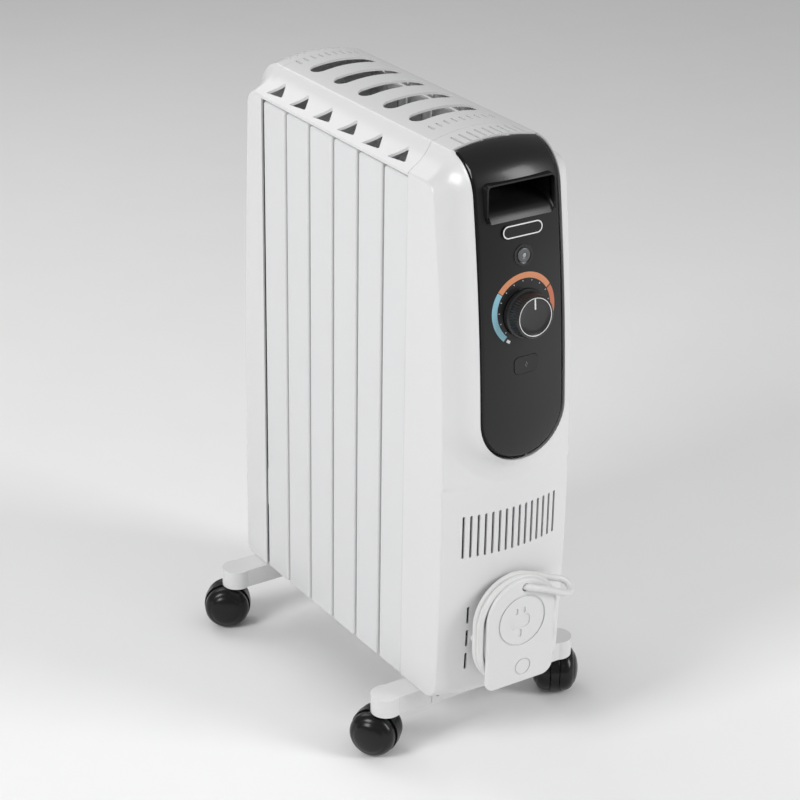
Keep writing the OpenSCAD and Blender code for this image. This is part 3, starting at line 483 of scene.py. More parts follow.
cover_white = moulded("cover_white", (0.76, 0.76, 0.765), 0.3, grain_size=0.0013, grain_depth=0.000012,
                      Coat_Weight=0.25, Coat_Roughness=0.12)
SEAM_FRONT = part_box("front_cover")[1].y
front_shape = CoverShape(SEAM_FRONT, depth=0.0666, bulge=(0.270, 2.140, 3.000), corners=(0.014, 0.018),
                         spine_z=SPINE_Z, plan_r=0.200, fade=0)
PANEL_HALF, PANEL_GAP = 0.0488, 0.0003
PANEL_LIP_Y = front_shape.edge + 0.034
PANEL_TOP = TOP_EDGE + SPINE_RISE / 2
OPENING_HALF = PANEL_HALF + PANEL_GAP
LIP_R = 0.008

# The panel's long opening, its mouth at the top, the air slots, and two holes behind the cord
# plate: one for the plug's cup and one for the plug's tail above it.
opening = bmesh.new()
prism(opening, 2 * OPENING_HALF, PANEL_TOP - SPINE_Z + 2 * OPENING_HALF, 0.12,
      at(0, SEAM_FRONT - 0.090, (PANEL_TOP + SPINE_Z) / 2, 90), segments=24)
mouth = bmesh.new()
prism(mouth, 2 * OPENING_HALF, 0.06, 0.06, at(0, PANEL_LIP_Y + PANEL_GAP - 0.03, PANEL_TOP + 0.010), LIP_R)
front_cuts = bmesh.new()
slot_row(front_cuts, PANEL_LIP_Y + 0.0135, 0.0215, 0.04)
louvre_row(front_cuts, front_shape.edge - 0.01, LOW_EDGE + 0.185)
for side in (-1, 1):
    for i in range(3):
        prism(front_cuts, SLOT_W, 0.019, 0.03,
              at(side * 0.0455, front_shape.edge - 0.008, LOW_EDGE + 0.044 + i * 0.0265, 90))
DRUM_FACE = front_shape.edge - HALF_WIDTH ** 2 / (2 * front_shape.plan_r)
prism(front_cuts, 0.0436, 0.0666, 0.02, at(0, DRUM_FACE, 0.1374, 90), 0.002)
tail_cut = bmesh.new()
prism(tail_cut, 0.0156, 0.0366, 0.022, at(0, DRUM_FACE, 0.1843, 90), 0.002)
front_bm = carved(cover_shell(front_shape), opening, mouth, front_cuts, tail_cut)
front_cover = piece("front_shell", front_bm, cover_white, "root", ["front_cover"])
soften(front_cover, 0.0005)


# ---- Rear cover ----
# A white moulded shell like the front one closes the far end and clips on the last fin. Its spine
# fades out down its back, over a row of louvres.
SEAM_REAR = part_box("rear_cover")[0].y
rear_shape = CoverShape(-SEAM_REAR, depth=0.0422, bulge=(0.127, 7.900, 7.900), corners=(0.016, 0.010),
                        spine_z=0.517, plan_r=0.470, fade=1)
rear_cuts = bmesh.new()
slot_row(rear_cuts, -SEAM_REAR - 0.018, 0.018, 0.04)
louvre_row(rear_cuts, rear_shape.edge, LOW_EDGE + 0.070)
rear_bm = carved(cover_shell(rear_shape), rear_cuts)
bmesh.ops.rotate(rear_bm, verts=rear_bm.verts, matrix=Matrix.Rotation(math.pi, 3, "Z"))
rear_cover = piece("rear_shell", rear_bm, cover_white, "root", ["rear_cover"])
soften(rear_cover, 0.0005)


# ---- Top grille ----
# Arched white grille over the fins, clipped between the two covers. Wide slots lie across it, fine
# slots at its ends, and three-cornered holes along both shoulders.
grille_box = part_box("top_grille")
FIN_COUNT, FIN_PITCH = 6, 0.0448
STACK_FRONT = grille_box[0].y - 0.0018
GRILLE_MID = STACK_FRONT + 3 * FIN_PITCH + 0.010
GRILLE_ROWS = 40
GRILLE_CUT = 0.05
GRILLE_SKIRT = 0.003
# Corners of a shoulder hole: distance from the middle of the heater, and back from a fin's front.
HOLE_CORNERS = [(HALF_WIDTH - 0.0062, 0.0160), (HALF_WIDTH - 0.0038, 0.0435),
                (SPINE_HALF + 0.0062, 0.0275)]
grille_xs = both_ways(FINE_COLUMNS)


def grille_place(row, column):
    y = grille_box[0].y + (grille_box[1].y - grille_box[0].y) * row / GRILLE_ROWS
    if column in (0, len(grille_xs) + 1):
        return Vector((HALF_WIDTH * (1 if column else -1), y, TOP_EDGE - GRILLE_SKIRT))
    x = grille_xs[column - 1]
    return Vector((x, y, TOP_EDGE + front_shape.stand_off(x, TOP_EDGE, 1)))


grille_cuts = bmesh.new()
for i in range(-2, 3):
    prism(grille_cuts, 0.076, 0.020, GRILLE_CUT, at(0, GRILLE_MID + i * FIN_PITCH, CROWN_TOP), segments=10)
reach = (grille_box[1].y - grille_box[0].y) / 2 - 0.0145
for end in (-1, 1):
    slot_row(grille_cuts, GRILLE_MID + end * reach, 0.012, GRILLE_CUT)
for side in (-1, 1):
    for i in range(FIN_COUNT):
        base = [grille_cuts.verts.new((side * x, STACK_FRONT + i * FIN_PITCH + y, TOP_EDGE - 0.004))
                for x, y in HOLE_CORNERS]
        walls = bmesh.ops.extrude_face_region(grille_cuts, geom=[grille_cuts.faces.new(base)])["geom"]
        lifted = [v for v in walls if isinstance(v, bmesh.types.BMVert)]
        bmesh.ops.translate(grille_cuts, vec=(0, 0, 0.04), verts=lifted)
        posts = [e for v in lifted for e in v.link_edges if e.other_vert(v) not in lifted]
        bmesh.ops.bevel(grille_cuts, geom=posts, offset=0.0022, segments=4, profile=0.5,
                        affect="EDGES", material=-1)
bmesh.ops.recalc_face_normals(grille_cuts, faces=grille_cuts.faces)
grille_bm = thickened(moved_grid(len(grille_xs) + 2, GRILLE_ROWS + 1, grille_place), COVER_WALL, (0, 0, 1))
grille = piece("grille_shell", carved(grille_bm, grille_cuts), cover_white, "root",
               ["top_grille"])
soften(grille, 0.0006)


# ---- Control panel ----
# Black gloss moulding let into the spine. It is crowned across, with a glossier chamfer round its face
# whose black is also painted darker as painted shade, and is pierced for the finger recess, the knob and the
# two buttons.
PANEL_WALL = 0.0026
FACE_HALF = 0.0445
FACE_EDGE, FACE_CROWN, RIM_FALL = 0.026, 0.0048, 0.0055
PANEL_RISE = FACE_EDGE + FACE_CROWN
panel_us = both_ways([0, 0.12, 0.24, 0.36, 0.48, 0.6, 0.7, 0.78, 0.84, 0.88, 0.905, 0.92, 0.94, 0.97, 1])


def lip_angle(ahead):
    """Angle round the top corner at which the panel's skin is this far ahead of the lip's end."""
    return math.acos((front_shape.top[0] - PANEL_LIP_Y + ahead) / (front_shape.top_r + PANEL_RISE))


# Rows down the panel: rounded corners of the lip, the bend over the top, the face, and the round
# lower end. Each row has its place on the cover's side edge and its share of the full width.
panel_rows = []
for d in (0, 0.03, 0.08, 0.16, 0.28, 0.42, 0.6, 0.8):
    short = LIP_R * (1 - math.sqrt(1 - (1 - d) ** 2))
    panel_rows.append((front_shape.corner_station(lip_angle(d * LIP_R)), 1 - short / PANEL_HALF))
lip_full = lip_angle(LIP_R)
for i in range(13):
    bend = lip_full + (front_shape.top_angle - lip_full) * i / 12
    panel_rows.append((front_shape.corner_station(bend), 1))
for i in range(1, 21):
    z = front_shape.high + (SPINE_Z - front_shape.high) * i / 20
    panel_rows.append((front_shape.face_station(z), 1))
for i in range(1, 31):
    turn = math.radians(2.94 * i)
    panel_rows.append((front_shape.face_station(SPINE_Z - PANEL_HALF * math.sin(turn)), math.cos(turn)))


def panel_height(x, z):
    """The crowned face, and the chamfer that falls away within 4.3 mm of the outline."""
    reach = math.hypot(x, min(z - SPINE_Z, 0))
    crown = FACE_EDGE + FACE_CROWN * (1 - min(reach / FACE_HALF, 1) ** 2)
    fall = max(reach - FACE_HALF, 0) / (PANEL_HALF - FACE_HALF)
    return crown - RIM_FALL * fall ** 1.15


def panel_place(row, column):
    (y, z, ny, nz, _), width = panel_rows[row]
    x = panel_us[column] * PANEL_HALF * width
    up = panel_height(x, z)
    return Vector((x, y + ny * up, z + nz * up))


def on_panel(z, lift=0.0):
    """Place on the panel's middle line at height z, with Z out of the panel and Y up along it."""
    face_r = front_shape.bulge_r + PANEL_RISE
    lean = math.asin((z - front_shape.bulge_z) / face_r)
    y = front_shape.edge + front_shape.bulge_r - face_r * math.cos(lean)
    return at(0, y, z, 90 - math.degrees(lean)) @ Matrix.Translation((0, 0, lift))


def disc(bm, radius, depth, place, segments=64):
    bmesh.ops.create_cone(bm, cap_ends=True, segments=segments, radius1=radius, radius2=radius,
                          depth=depth, matrix=place)


KNOB_Z = CROWN_TOP - 0.1576
POWER_Z, MODE_Z, BADGE_Z = KNOB_Z + 0.0556, KNOB_Z - 0.0504, KNOB_Z + 0.0796
RECESS_HALF, RECESS_LOW, RECESS_HIGH = 0.037, BADGE_Z + 0.010, TOP_EDGE + 0.001
WELL_R = 0.0244
panel_cuts = bmesh.new()
prism(panel_cuts, 2 * RECESS_HALF, RECESS_HIGH - RECESS_LOW, 0.11,
      at(0, SEAM_FRONT - 0.075, (RECESS_HIGH + RECESS_LOW) / 2, 90), 0.0028)
disc(panel_cuts, WELL_R, 0.012, on_panel(KNOB_Z, 0.0038))
disc(panel_cuts, 0.010, 0.032, on_panel(POWER_Z))
prism(panel_cuts, 0.0276, 0.0176, 0.032, on_panel(MODE_Z), 0.0053)
panel_black = moulded("panel_black", (0.009, 0.009, 0.0095), 0.3, grain_size=0.0011, grain_depth=0.000005,
                      shift=0.03, Specular_IOR_Level=0.35, Coat_Weight=0.15, Coat_Roughness=0.12)
# The chamfer's finish is glossier than the face's, and its darker black is painted shade for the chamfer's
# sloping faces.
chamfer_gloss_painted_shade = moulded("chamfer_gloss_painted_shade", (0.003, 0.003, 0.003), 0.1, grain_size=0.0011, grain_depth=0.000003,
                    shift=0.02, Specular_IOR_Level=0.4)
panel_skin = moved_grid(len(panel_us), len(panel_rows), panel_place)
panel_bm = carved(thickened(panel_skin, PANEL_WALL, (0, -1, 0)), panel_cuts)
# Faces outside the crowned face take the chamfer's finish, with its painted darker shade.
for face in panel_bm.faces:
    middle = face.calc_center_median()
    reach = math.hypot(middle.x, min(middle.z - SPINE_Z, 0))
    face.material_index = 1 if reach > FACE_HALF + 0.0002 else 0
panel = piece("panel_face", panel_bm, [panel_black, chamfer_gloss_painted_shade], "root", ["control_panel"])
soften(panel, 0.0003)


# ---- Finger recess ----
# Black moulded cup behind the panel's upper opening, where a hand lifts and pulls the heater. Its
# floor rises steeply behind the panel's face, then runs gently up to the back wall.
recess_black = moulded("recess_black", (0.010, 0.010, 0.0105), 0.3, grain_size=0.0011, grain_depth=0.000006,
                       shift=0.03, Specular_IOR_Level=0.35)
recess_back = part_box("handle_pocket")[1].y - 0.002
recess_front = on_panel(RECESS_LOW).translation.y + 0.0003
# The floor's sweep: distance back from the panel's face, and height over the opening's lower edge.
FLOOR_SWEEP = [(0, 0), (0.0015, 0.0026), (0.0032, 0.0052), (0.0055, 0.0078), (0.0085, 0.0100),
               (0.0125, 0.0118), (0.0180, 0.0133), (0.0260, 0.0148), (0.0360, 0.0162), (0.0480, 0.0176)]
profile = [(recess_front + back, RECESS_LOW + 0.0002 + up) for back, up in FLOOR_SWEEP]
profile += [(recess_back, RECESS_LOW + 0.0190), (recess_back, RECESS_HIGH - 0.004),
            (recess_back - 0.004, RECESS_HIGH), (PANEL_LIP_Y - 0.042, RECESS_HIGH)]
recess_bm = bmesh.new()
line = [recess_bm.verts.new((-RECESS_HALF, y, z)) for y, z in profile]
rim = [recess_bm.edges.new(pair) for pair in zip(line, line[1:])]
swept = bmesh.ops.extrude_edge_only(recess_bm, edges=rim)["geom"]
moved = [v for v in swept if isinstance(v, bmesh.types.BMVert)]
bmesh.ops.translate(recess_bm, vec=(2 * RECESS_HALF, 0, 0), verts=moved)
for side in (-1, 1):
    edge = [e for e in recess_bm.edges if all(abs(v.co.x - side * RECESS_HALF) < 1e-7 for v in e.verts)]
    ends = [v for v in recess_bm.verts if abs(v.co.x - side * RECESS_HALF) < 1e-7 and len(v.link_edges) == 2]
    bmesh.ops.edgeloop_fill(recess_bm, edges=edge + [recess_bm.edges.new(ends)])
bmesh.ops.recalc_face_normals(recess_bm, faces=recess_bm.faces)
bmesh.ops.reverse_faces(recess_bm, faces=recess_bm.faces)
creases = [e for e in recess_bm.edges if len(e.link_faces) == 2 and e.calc_face_angle(0) > 1.2]
bmesh.ops.bevel(recess_bm, geom=creases, offset=0.0035, segments=4, profile=0.5, affect="EDGES", material=-1)
recess = piece("finger_recess", recess_bm, recess_black, "root", ["handle_pocket"], 50)
wall = recess.modifiers.new("wall", "SOLIDIFY")
wall.thickness, wall.offset = 0.0016, -1


# ---- Badge ----
# Blank oval plate in glossy black on the panel's face, under the recess. Its white border is what
# shows of a white oval between the black plate and a smaller black oval on top.
badge_black = moulded("badge_black", (0.015, 0.015, 0.016), 0.2, grain_depth=0.000004)
print_white = moulded("print_white", (0.80, 0.80, 0.80), 0.45, grain_size=0.0004, grain_depth=0.000006)
BADGE_W, BADGE_LEN, BADGE_T = 0.0454, 0.0132, 0.0008


def inked(bm, old_faces, finish):
    """Gives the faces that are new since old_faces their finish."""
    for face in set(bm.faces) - old_faces:
        face.material_index = finish


badge_bm = bmesh.new()
for finish, shrink, lift in ((0, 0.0, 0.0), (1, 0.0010, 0.00006), (0, 0.0034, 0.00012)):
    old_faces = set(badge_bm.faces)
    prism(badge_bm, BADGE_W - shrink, BADGE_LEN - shrink, BADGE_T + 2 * lift, on_panel(BADGE_Z, 0.0004),
          segments=12)
    inked(badge_bm, old_faces, finish)
piece("badge_oval", badge_bm, [badge_black, print_white], "root", ["badge_plate"])


# ---- Dial print ----
# Scale printed on the panel round the knob: blue for low heat, then orange and red for comfort and
# full heat, with a short white mark at its start and fine white ticks inside it.
dial_blue = moulded("dial_blue", (0.26, 0.52, 0.62), 0.4, grain_size=0.0004, grain_depth=0.000004)
dial_orange = moulded("dial_orange", (0.68, 0.27, 0.13), 0.4, grain_size=0.0004, grain_depth=0.000004)
dial_red = moulded("dial_red", (0.56, 0.17, 0.085), 0.4, grain_size=0.0004, grain_depth=0.000004)
DIAL_IN, DIAL_OUT, DIAL_STEP, DIAL_FILM = 0.0302, 0.0357, 3, 0.0001
# Each part of the scale: start and end in degrees, finish, inner and outer radius.
scale = [(-133, -216, 0, DIAL_IN, DIAL_OUT), (-217, -328, 1, DIAL_IN, DIAL_OUT),
         (-330, -375, 3, DIAL_IN, DIAL_OUT), (-122, -129, 2, 0.0318, 0.0346)]
scale += [(a, a - 1.2, 2, 0.0276, 0.0288) for a in range(-140, -376, -21)]
dial_bm = bmesh.new()
dial_place = on_panel(KNOB_Z)
for start, end, finish, inner, outer in scale:
    steps = max(2, round(abs(end - start) / DIAL_STEP))
    strip = []
    for i in range(steps + 1):
        a = math.radians(start + (end - start) * i / steps)
        for r in (inner, outer):
            x, up = r * math.cos(a), r * math.sin(a)
            z = (dial_place @ Vector((x, up, 0))).z
            y, _, ny, nz, _ = front_shape.face_station(z)
            lift = panel_height(x, z) + 0.00012
            strip.append(dial_bm.verts.new(Vector((x, y, z)) + Vector((0, ny, nz)) * lift))
    for i in range(steps):
        face = dial_bm.faces.new([strip[2 * i], strip[2 * i + 1], strip[2 * i + 3], strip[2 * i + 2]])
        face.material_index = finish
bmesh.ops.recalc_face_normals(dial_bm, faces=dial_bm.faces)
for face in dial_bm.faces:
    if face.normal.y > 0:
        face.normal_flip()
dial = piece("dial_print", dial_bm, [dial_blue, dial_orange, print_white, dial_red], "root",
             ["dial_ring"])
film = dial.modifiers.new("film", "SOLIDIFY")
film.thickness, film.offset = DIAL_FILM, -1


# ---- Knob ----
# Black moulded knob with a fluted grip and a dished face, pushed on the spindle. A white ring and
# a white pointer are printed on its face.
FLUTES, STEPS_A_FLUTE = 48, 4
FLUTE_DEPTH = (0.0, 0.012, 0.030, 0.012)


def turned(bm, outline, steps, closed=True):
    """Spins an outline of radii and heights once round the Z axis."""
    points = [bm.verts.new((r, 0, h)) for r, h in outline]
    following = points[1:] + points[:1] if closed else points[1:]
    line = [bm.edges.new(pair) for pair in zip(points, following)]
    bmesh.ops.spin(bm, geom=line + points, cent=(0, 0, 0), axis=(0, 0, 1), angle=2 * math.pi,
                   steps=steps, use_merge=True, use_duplicate=False)


def placed(bm, place):
    """Faces a closed form outwards, and moves it from the origin to its place."""
    bmesh.ops.recalc_face_normals(bm, faces=bm.faces)
    bmesh.ops.transform(bm, matrix=place, verts=bm.verts)
    return bm


knob_black = moulded("knob_black", (0.018, 0.018, 0.019), 0.2, grain_size=0.0005, grain_depth=0.000012)
knob_bm = bmesh.new()
turned(knob_bm, [(0.0032, 0.0), (0.0060, 0.0), (0.0060, 0.0095), (0.0185, 0.0075), (0.0205, -0.0014),
                 (0.0233, -0.0014), (0.0235, -0.0008), (0.0235, 0.0036), (0.0228, 0.0042),
                 (0.0222, 0.0050), (0.0212, 0.0142), (0.0207, 0.0156), (0.0198, 0.0164),
                 (0.0188, 0.0165), (0.0180, 0.0161), (0.0120, 0.0158), (0.0, 0.0157)],
       FLUTES * STEPS_A_FLUTE, closed=False)
bmesh.ops.remove_doubles(knob_bm, verts=knob_bm.verts, dist=1e-6)
for v in knob_bm.verts:
    r = math.hypot(v.co.x, v.co.y)
    if 0.0049 < v.co.z < 0.0150 and r > 0.0205:
        turn = math.atan2(v.co.y, v.co.x) / (2 * math.pi)
        beat = round(turn * FLUTES * STEPS_A_FLUTE) % STEPS_A_FLUTE
        v.co.xy *= 1 - FLUTE_DEPTH[beat]
piece("knob_grip", placed(knob_bm, on_panel(KNOB_Z)), knob_black, "knob",
      ["thermostat_knob"], 28)

marking_bm = bmesh.new()
turned(marking_bm, [(0.0178, 0.0161), (0.0178, 0.01635), (0.0190, 0.01635), (0.0190, 0.0161)], 96)
prism(marking_bm, 0.0014, 0.0105, 0.0006, Matrix.Translation((0, 0.0124, 0.01615)), 0.0005, 3)
piece("knob_print", placed(marking_bm, on_panel(KNOB_Z)), print_white, "knob",
      ["knob_marking"])


# ---- Power button ----
# Grey push button with a raised rim and a small clear lens for the pilot light, in a black bezel
# ring that stands on the panel. The button is hollow behind and slides in the ring.
bezel_black = moulded("bezel_black", (0.02, 0.02, 0.021), 0.25, grain_depth=0.000006)
bezel_bm = bmesh.new()
turned(bezel_bm, [(0.0070, -0.006), (0.0099, -0.006), (0.0099, 0.0001), (0.0106, 0.0001),
                  (0.0106, 0.0005), (0.0103, 0.0009), (0.0085, 0.0009), (0.0078, 0.0004),
                  (0.0070, 0.0002)], 64)
piece("power_ring", placed(bezel_bm, on_panel(POWER_Z)), bezel_black, "root", ["power_bezel"])

button_grey = moulded("button_grey", (0.10, 0.105, 0.11), 0.32, grain_size=0.0005, grain_depth=0.00001)
button_bm = bmesh.new()
turned(button_bm, [(0.0041, -0.009), (0.0081, -0.009), (0.0081, -0.0075), (0.0068, -0.0075),
                   (0.0068, 0.0006), (0.0064, 0.0013), (0.0056, 0.0016), (0.0030, 0.0012),
                   (0.0022, 0.0009), (0.0021, 0.0006), (0.0, 0.0006), (0.0, -0.003),
                   (0.0041, -0.003)], 64)
bmesh.ops.remove_doubles(button_bm, verts=button_bm.verts, dist=1e-6)
piece("power_key_cap", placed(button_bm, on_panel(POWER_Z)), button_grey, "power_key",
      ["power_button"])

lens_clear = Finish("lens_clear", (0.55, 0.57, 0.56), 0.12, Transmission_Weight=0.35)
lens_clear.feed("Roughness", lens_clear.noise(900.0) * 0.1 + 0.08)
lens_bm = bmesh.new()
bmesh.ops.create_uvsphere(lens_bm, u_segments=32, v_segments=16, radius=0.002)
bmesh.ops.scale(lens_bm, vec=(1, 1, 0.45), verts=lens_bm.verts)
bmesh.ops.transform(lens_bm, matrix=on_panel(POWER_Z, 0.0010), verts=lens_bm.verts)
piece("pilot_dome", lens_bm, lens_clear, "power_key", ["pilot_lens"], 60)


# ---- Lower push button ----
# Black key with rounded corners that stands just proud of the panel, in the panel's own plastic.
# A small zigzag mark is printed on it in grey, as two short strokes.
print_grey = moulded("print_grey", (0.16, 0.16, 0.165), 0.5, grain_size=0.0004, grain_depth=0.000006)
mode_bm = bmesh.new()
prism(mode_bm, 0.0268, 0.0168, 0.0063, on_panel(MODE_Z, -0.0029), 0.005, 10)
for shift in (0.0011, -0.0011):
    old_faces = set(mode_bm.faces)
    stroke = on_panel(MODE_Z, 0.0003) @ at(shift * 0.5, shift, 0, 24, "Z")
    prism(mode_bm, 0.0006, 0.0034, 0.00012, stroke, 0.0001, 1)
    inked(mode_bm, old_faces, 1)
mode_key = piece("mode_key_cap", mode_bm, [panel_black, print_grey], "mode_key",
                 ["mode_button"])
soften(mode_key, 0.0012, 4)


# ---- Fins ----
# Six pressed steel fins, enamelled white. Each has two folded side trays with rounded edges, a
# welded middle web with two upright oil channels, and stub headers that join it to its neighbours.
fin_enamel = moulded("fin_enamel", (0.74, 0.745, 0.75), 0.36, grain_size=0.0024, grain_depth=0.000018,
                     Coat_Weight=0.2, Coat_Roughness=0.2)
fin_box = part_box("fin_3")
FIN_HALF, FIN_SHEET, TRAY_DEPTH = 0.0206, 0.0012, 0.006
fin_low, fin_high = fin_box[0].z, fin_box[1].z
HEADER_LOW, HEADER_HIGH, HEADER_R = LOW_EDGE + 0.046, fin_high - 0.042, 0.022
WEB_LOW, WEB_HIGH = fin_low + 0.020, fin_high - 0.014
CHANNEL_X, CHANNEL_R, CHANNEL_STRETCH = 0.043, 0.008, 1.4


def block(bm, centre, size):
    bmesh.ops.create_cube(bm, size=1, matrix=Matrix.Translation(centre) @ Matrix.Diagonal((*size, 1)))


def fin_tray(side):
    """One folded side wall: a shallow tray, open towards the middle of the heater."""
    bm = bmesh.new()
    block(bm, (side * (HALF_WIDTH - TRAY_DEPTH / 2), 0, (fin_low + fin_high) / 2),
          (TRAY_DEPTH, 2 * FIN_HALF, fin_high - fin_low))
    inner = [f for f in bm.faces if f.normal.x * side < -0.9]
    bmesh.ops.delete(bm, geom=inner, context="FACES")
    folds = [e for e in bm.edges if len(e.link_faces) == 2]
    bmesh.ops.bevel(bm, geom=folds, offset=TRAY_DEPTH / 2, segments=5, profile=0.5, affect="EDGES",
                    material=-1)
    return thickened(bm, FIN_SHEET, (side, 0, 0))


def fin_web():
    """Middle web with its two oil channels and both headers, as one solid."""
    bm = bmesh.new()
    block(bm, (0, 0, (WEB_LOW + WEB_HIGH) / 2),
          (2 * (HALF_WIDTH - 0.0035), 2 * FIN_SHEET, WEB_HIGH - WEB_LOW))
    channels = bmesh.new()
    for side in (-1, 1):
        bmesh.ops.create_uvsphere(channels, u_segments=24, v_segments=16, radius=CHANNEL_R,
                                  matrix=Matrix.Translation((side * CHANNEL_X, 0, HEADER_LOW)))
    bmesh.ops.scale(channels, vec=(CHANNEL_STRETCH, 0.85, 1), space=Matrix.Translation((0, 0, -HEADER_LOW)),
                    verts=channels.verts)
    for v in channels.verts:
        v.co.x -= math.copysign(CHANNEL_X * (CHANNEL_STRETCH - 1), v.co.x)
        if v.co.z > HEADER_LOW:
            v.co.z += HEADER_HIGH - HEADER_LOW
    headers = bmesh.new()
    for z in (HEADER_LOW, HEADER_HIGH):
        disc(headers, HEADER_R, FIN_PITCH - 0.0002, at(0, 0, z, 90), 48)
    return carved(bm, channels, headers, operation="UNION")


fin_pattern = fin_tray(-1)
for part in (fin_tray(1), fin_web()):
    part_mesh = bpy.data.meshes.new("fin_part")
    part.to_mesh(part_mesh)
    part.free()
    fin_pattern.from_mesh(part_mesh)
    bpy.data.meshes.remove(part_mesh)
for i in range(FIN_COUNT):
    fin_bm = fin_pattern.copy()
    bmesh.ops.translate(fin_bm, vec=(0, STACK_FRONT + (FIN_COUNT - 0.5 - i) * FIN_PITCH, 0),
                        verts=fin_bm.verts)
    fin = piece("fin_panel_%d" % (i + 1), fin_bm, fin_enamel, "root", ["fin_%d" % (i + 1)], 35)
    fin.modifiers.new("even", "WEIGHTED_NORMAL").keep_sharp = True


# ---- Cord drum and plate ----
# The drum stands on the front cover and holds the plug in a cup; the plate keeps the turns of cord
# on it. Both are white mouldings, and a plain plug outline is pressed into the plate.
plate_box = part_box("cord_plate")
PLATE_HALF, PLATE_T = 0.040, 0.004
PLATE_LOW, PLATE_BACK, PLATE_TOP = plate_box[0].z, plate_box[1].y, plate_box[1].z
PLATE_FRONT = PLATE_BACK - PLATE_T
LEFT_R, RIGHT_R = 0.009, 0.013

# The plate's outline is an arch and two rounded lower corners: centre, radius, angles and steps.
plate_bm = bmesh.new()
outline = []
for x, z, r, start, end, steps in ((0, PLATE_TOP - PLATE_HALF, PLATE_HALF, 0, 180, 48),
                                   (LEFT_R - PLATE_HALF, PLATE_LOW + LEFT_R, LEFT_R, 180, 270, 10),
                                   (PLATE_HALF - RIGHT_R, PLATE_LOW + RIGHT_R, RIGHT_R, 270, 360, 10)):
    for i in range(steps + 1):
        a = math.radians(start + (end - start) * i / steps)
        outline.append(plate_bm.verts.new((x + r * math.cos(a), PLATE_BACK, z + r * math.sin(a))))
plate_face = plate_bm.faces.new(outline)
grown = bmesh.ops.extrude_face_region(plate_bm, geom=[plate_face])["geom"]
moved = [v for v in grown if isinstance(v, bmesh.types.BMVert)]
bmesh.ops.translate(plate_bm, vec=(0, -PLATE_T, 0), verts=moved)
bmesh.ops.recalc_face_normals(plate_bm, faces=plate_bm.faces)
rim = [e for e in plate_bm.edges if all(abs(v.co.y - PLATE_FRONT) < 1e-6 for v in e.verts)]
bmesh.ops.bevel(plate_bm, geom=rim, offset=0.0014, segments=4, profile=0.5, affect="EDGES", material=-1)
plate_cuts = bmesh.new()
disc(plate_cuts, 0.0044, 0.02, at(0.0035, PLATE_BACK, 0.196, 90), 32)


def groove(bm, place, radius, width, depth):
    """A ring-shaped cutter lying in the plate's face."""
    old_verts = set(bm.verts)
    inner, outer = radius - width / 2, radius + width / 2
    turned(bm, [(inner, -depth), (outer, -depth), (outer, 0.002), (inner, 0.002)], 64)
    bmesh.ops.transform(bm, matrix=place, verts=[v for v in bm.verts if v not in old_verts])


marks = bmesh.new()
groove(marks, at(0, PLATE_FRONT, 0.1600, 90), 0.0272, 0.0020, 0.0012)
groove(marks, at(0.0030, PLATE_FRONT, 0.1065, 90), 0.0088, 0.0014, 0.0010)
bmesh.ops.recalc_face_normals(marks, faces=marks.faces)
# The plug outline: its body, two pins and a tail, each with width, length, x, z and corner.
plug_sign = bmesh.new()
for width, length, x, z, r in ((0.024, 0.015, -0.002, 0.159, 0.006),
                               (0.0034, 0.0070, -0.0065, 0.1711, 0.0016),
                               (0.0034, 0.0070, 0.0025, 0.1711, 0.0016),
                               (0.0046, 0.009, -0.002, 0.1462, 0.0022)):
    prism(plug_sign, width, length, 0.0022, at(x, PLATE_FRONT, z, 90), r, 5)
plate_bm = carved(plate_bm, plate_cuts, marks, plug_sign)
plate = piece("wrap_plate", plate_bm, cover_white, "root", ["cord_plate"], 30)
soften(plate, 0.00025)


def refinished(node, finish):
    """Gives a node of the frame, which keeps its own shape, its finish."""
    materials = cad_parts[node].data.materials
    materials.clear()
    materials.append(finish.material)


refinished("cord_drum", cover_white)


# ---- Feet ----
# White moulded bars across the body, with a round boss at each end for a caster's stem. Two screws
# from below hold each bar; a fine seam and a small round mark show on its outer side.
STEM_HOLE_R, SCREW_HOLE_R, SCREW_X = 0.00405, 0.0050, 0.020
SEAM_X, MARK_X, MARK_R = 0.0600, 0.0525, 0.0024
foot_white = moulded("foot_white", (0.76, 0.76, 0.765), 0.34, grain_size=0.001, grain_depth=0.000015)
for name in ("front_foot", "rear_foot"):
    low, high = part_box(name)
    middle = (low + high) / 2
    boss, height = (high.y - low.y) / 2, high.z - low.z
    stem_x = high.x - boss
    foot_bm = bmesh.new()
    prism(foot_bm, 2 * stem_x, 2 * boss - 0.003, height, at(0, middle.y, middle.z), 0.0004, 1)
    bosses = bmesh.new()
    for side in (-1, 1):
        disc(bosses, boss, height, at(side * stem_x, middle.y, middle.z))
    foot_bm = carved(foot_bm, bosses, operation="UNION")
    holes = bmesh.new()
    for side in (-1, 1):
        disc(holes, STEM_HOLE_R, 0.030, at(side * stem_x, middle.y, low.z))
        disc(holes, SCREW_HOLE_R, 0.0128, at(side * SCREW_X, middle.y, low.z))
        prism(holes, 0.0007, 0.0020, 0.03, at(side * SEAM_X, low.y + 0.0015, high.z - 0.004), 0.0001, 1)
        disc(holes, MARK_R, 0.0050, at(side * MARK_X, low.y + 0.0015, low.z + 0.0085, 90), 24)
    foot = piece(name + "_bar", carved(foot_bm, holes), foot_white, "root", [name], 30)
    soften(foot, 0.0022, 4)


# ---- Casters ----
# Twin-wheel casters in glossy black: two domed wheels on a steel axle, with a hood between them
# that turns on a steel stem.
caster_black = moulded("caster_black", (0.005, 0.005, 0.0052), 0.26, grain_size=0.0012, grain_depth=0.000006,
                       shift=0.03, Specular_IOR_Level=0.3, Coat_Weight=0.1, Coat_Roughness=0.1)
WHEEL_R, AXLE_R = 0.024, 0.003
DOME_BASE, DOME_HIGH, DENT = 0.0105, 0.0139, 0.0004
HOOD_GAP, HOOD_T, HOOD_LOW = 0.0012, 0.0084, 0.005
CASTER_TURNS = {"fl": 35, "fr": -35, "rl": 56, "rr": -56}

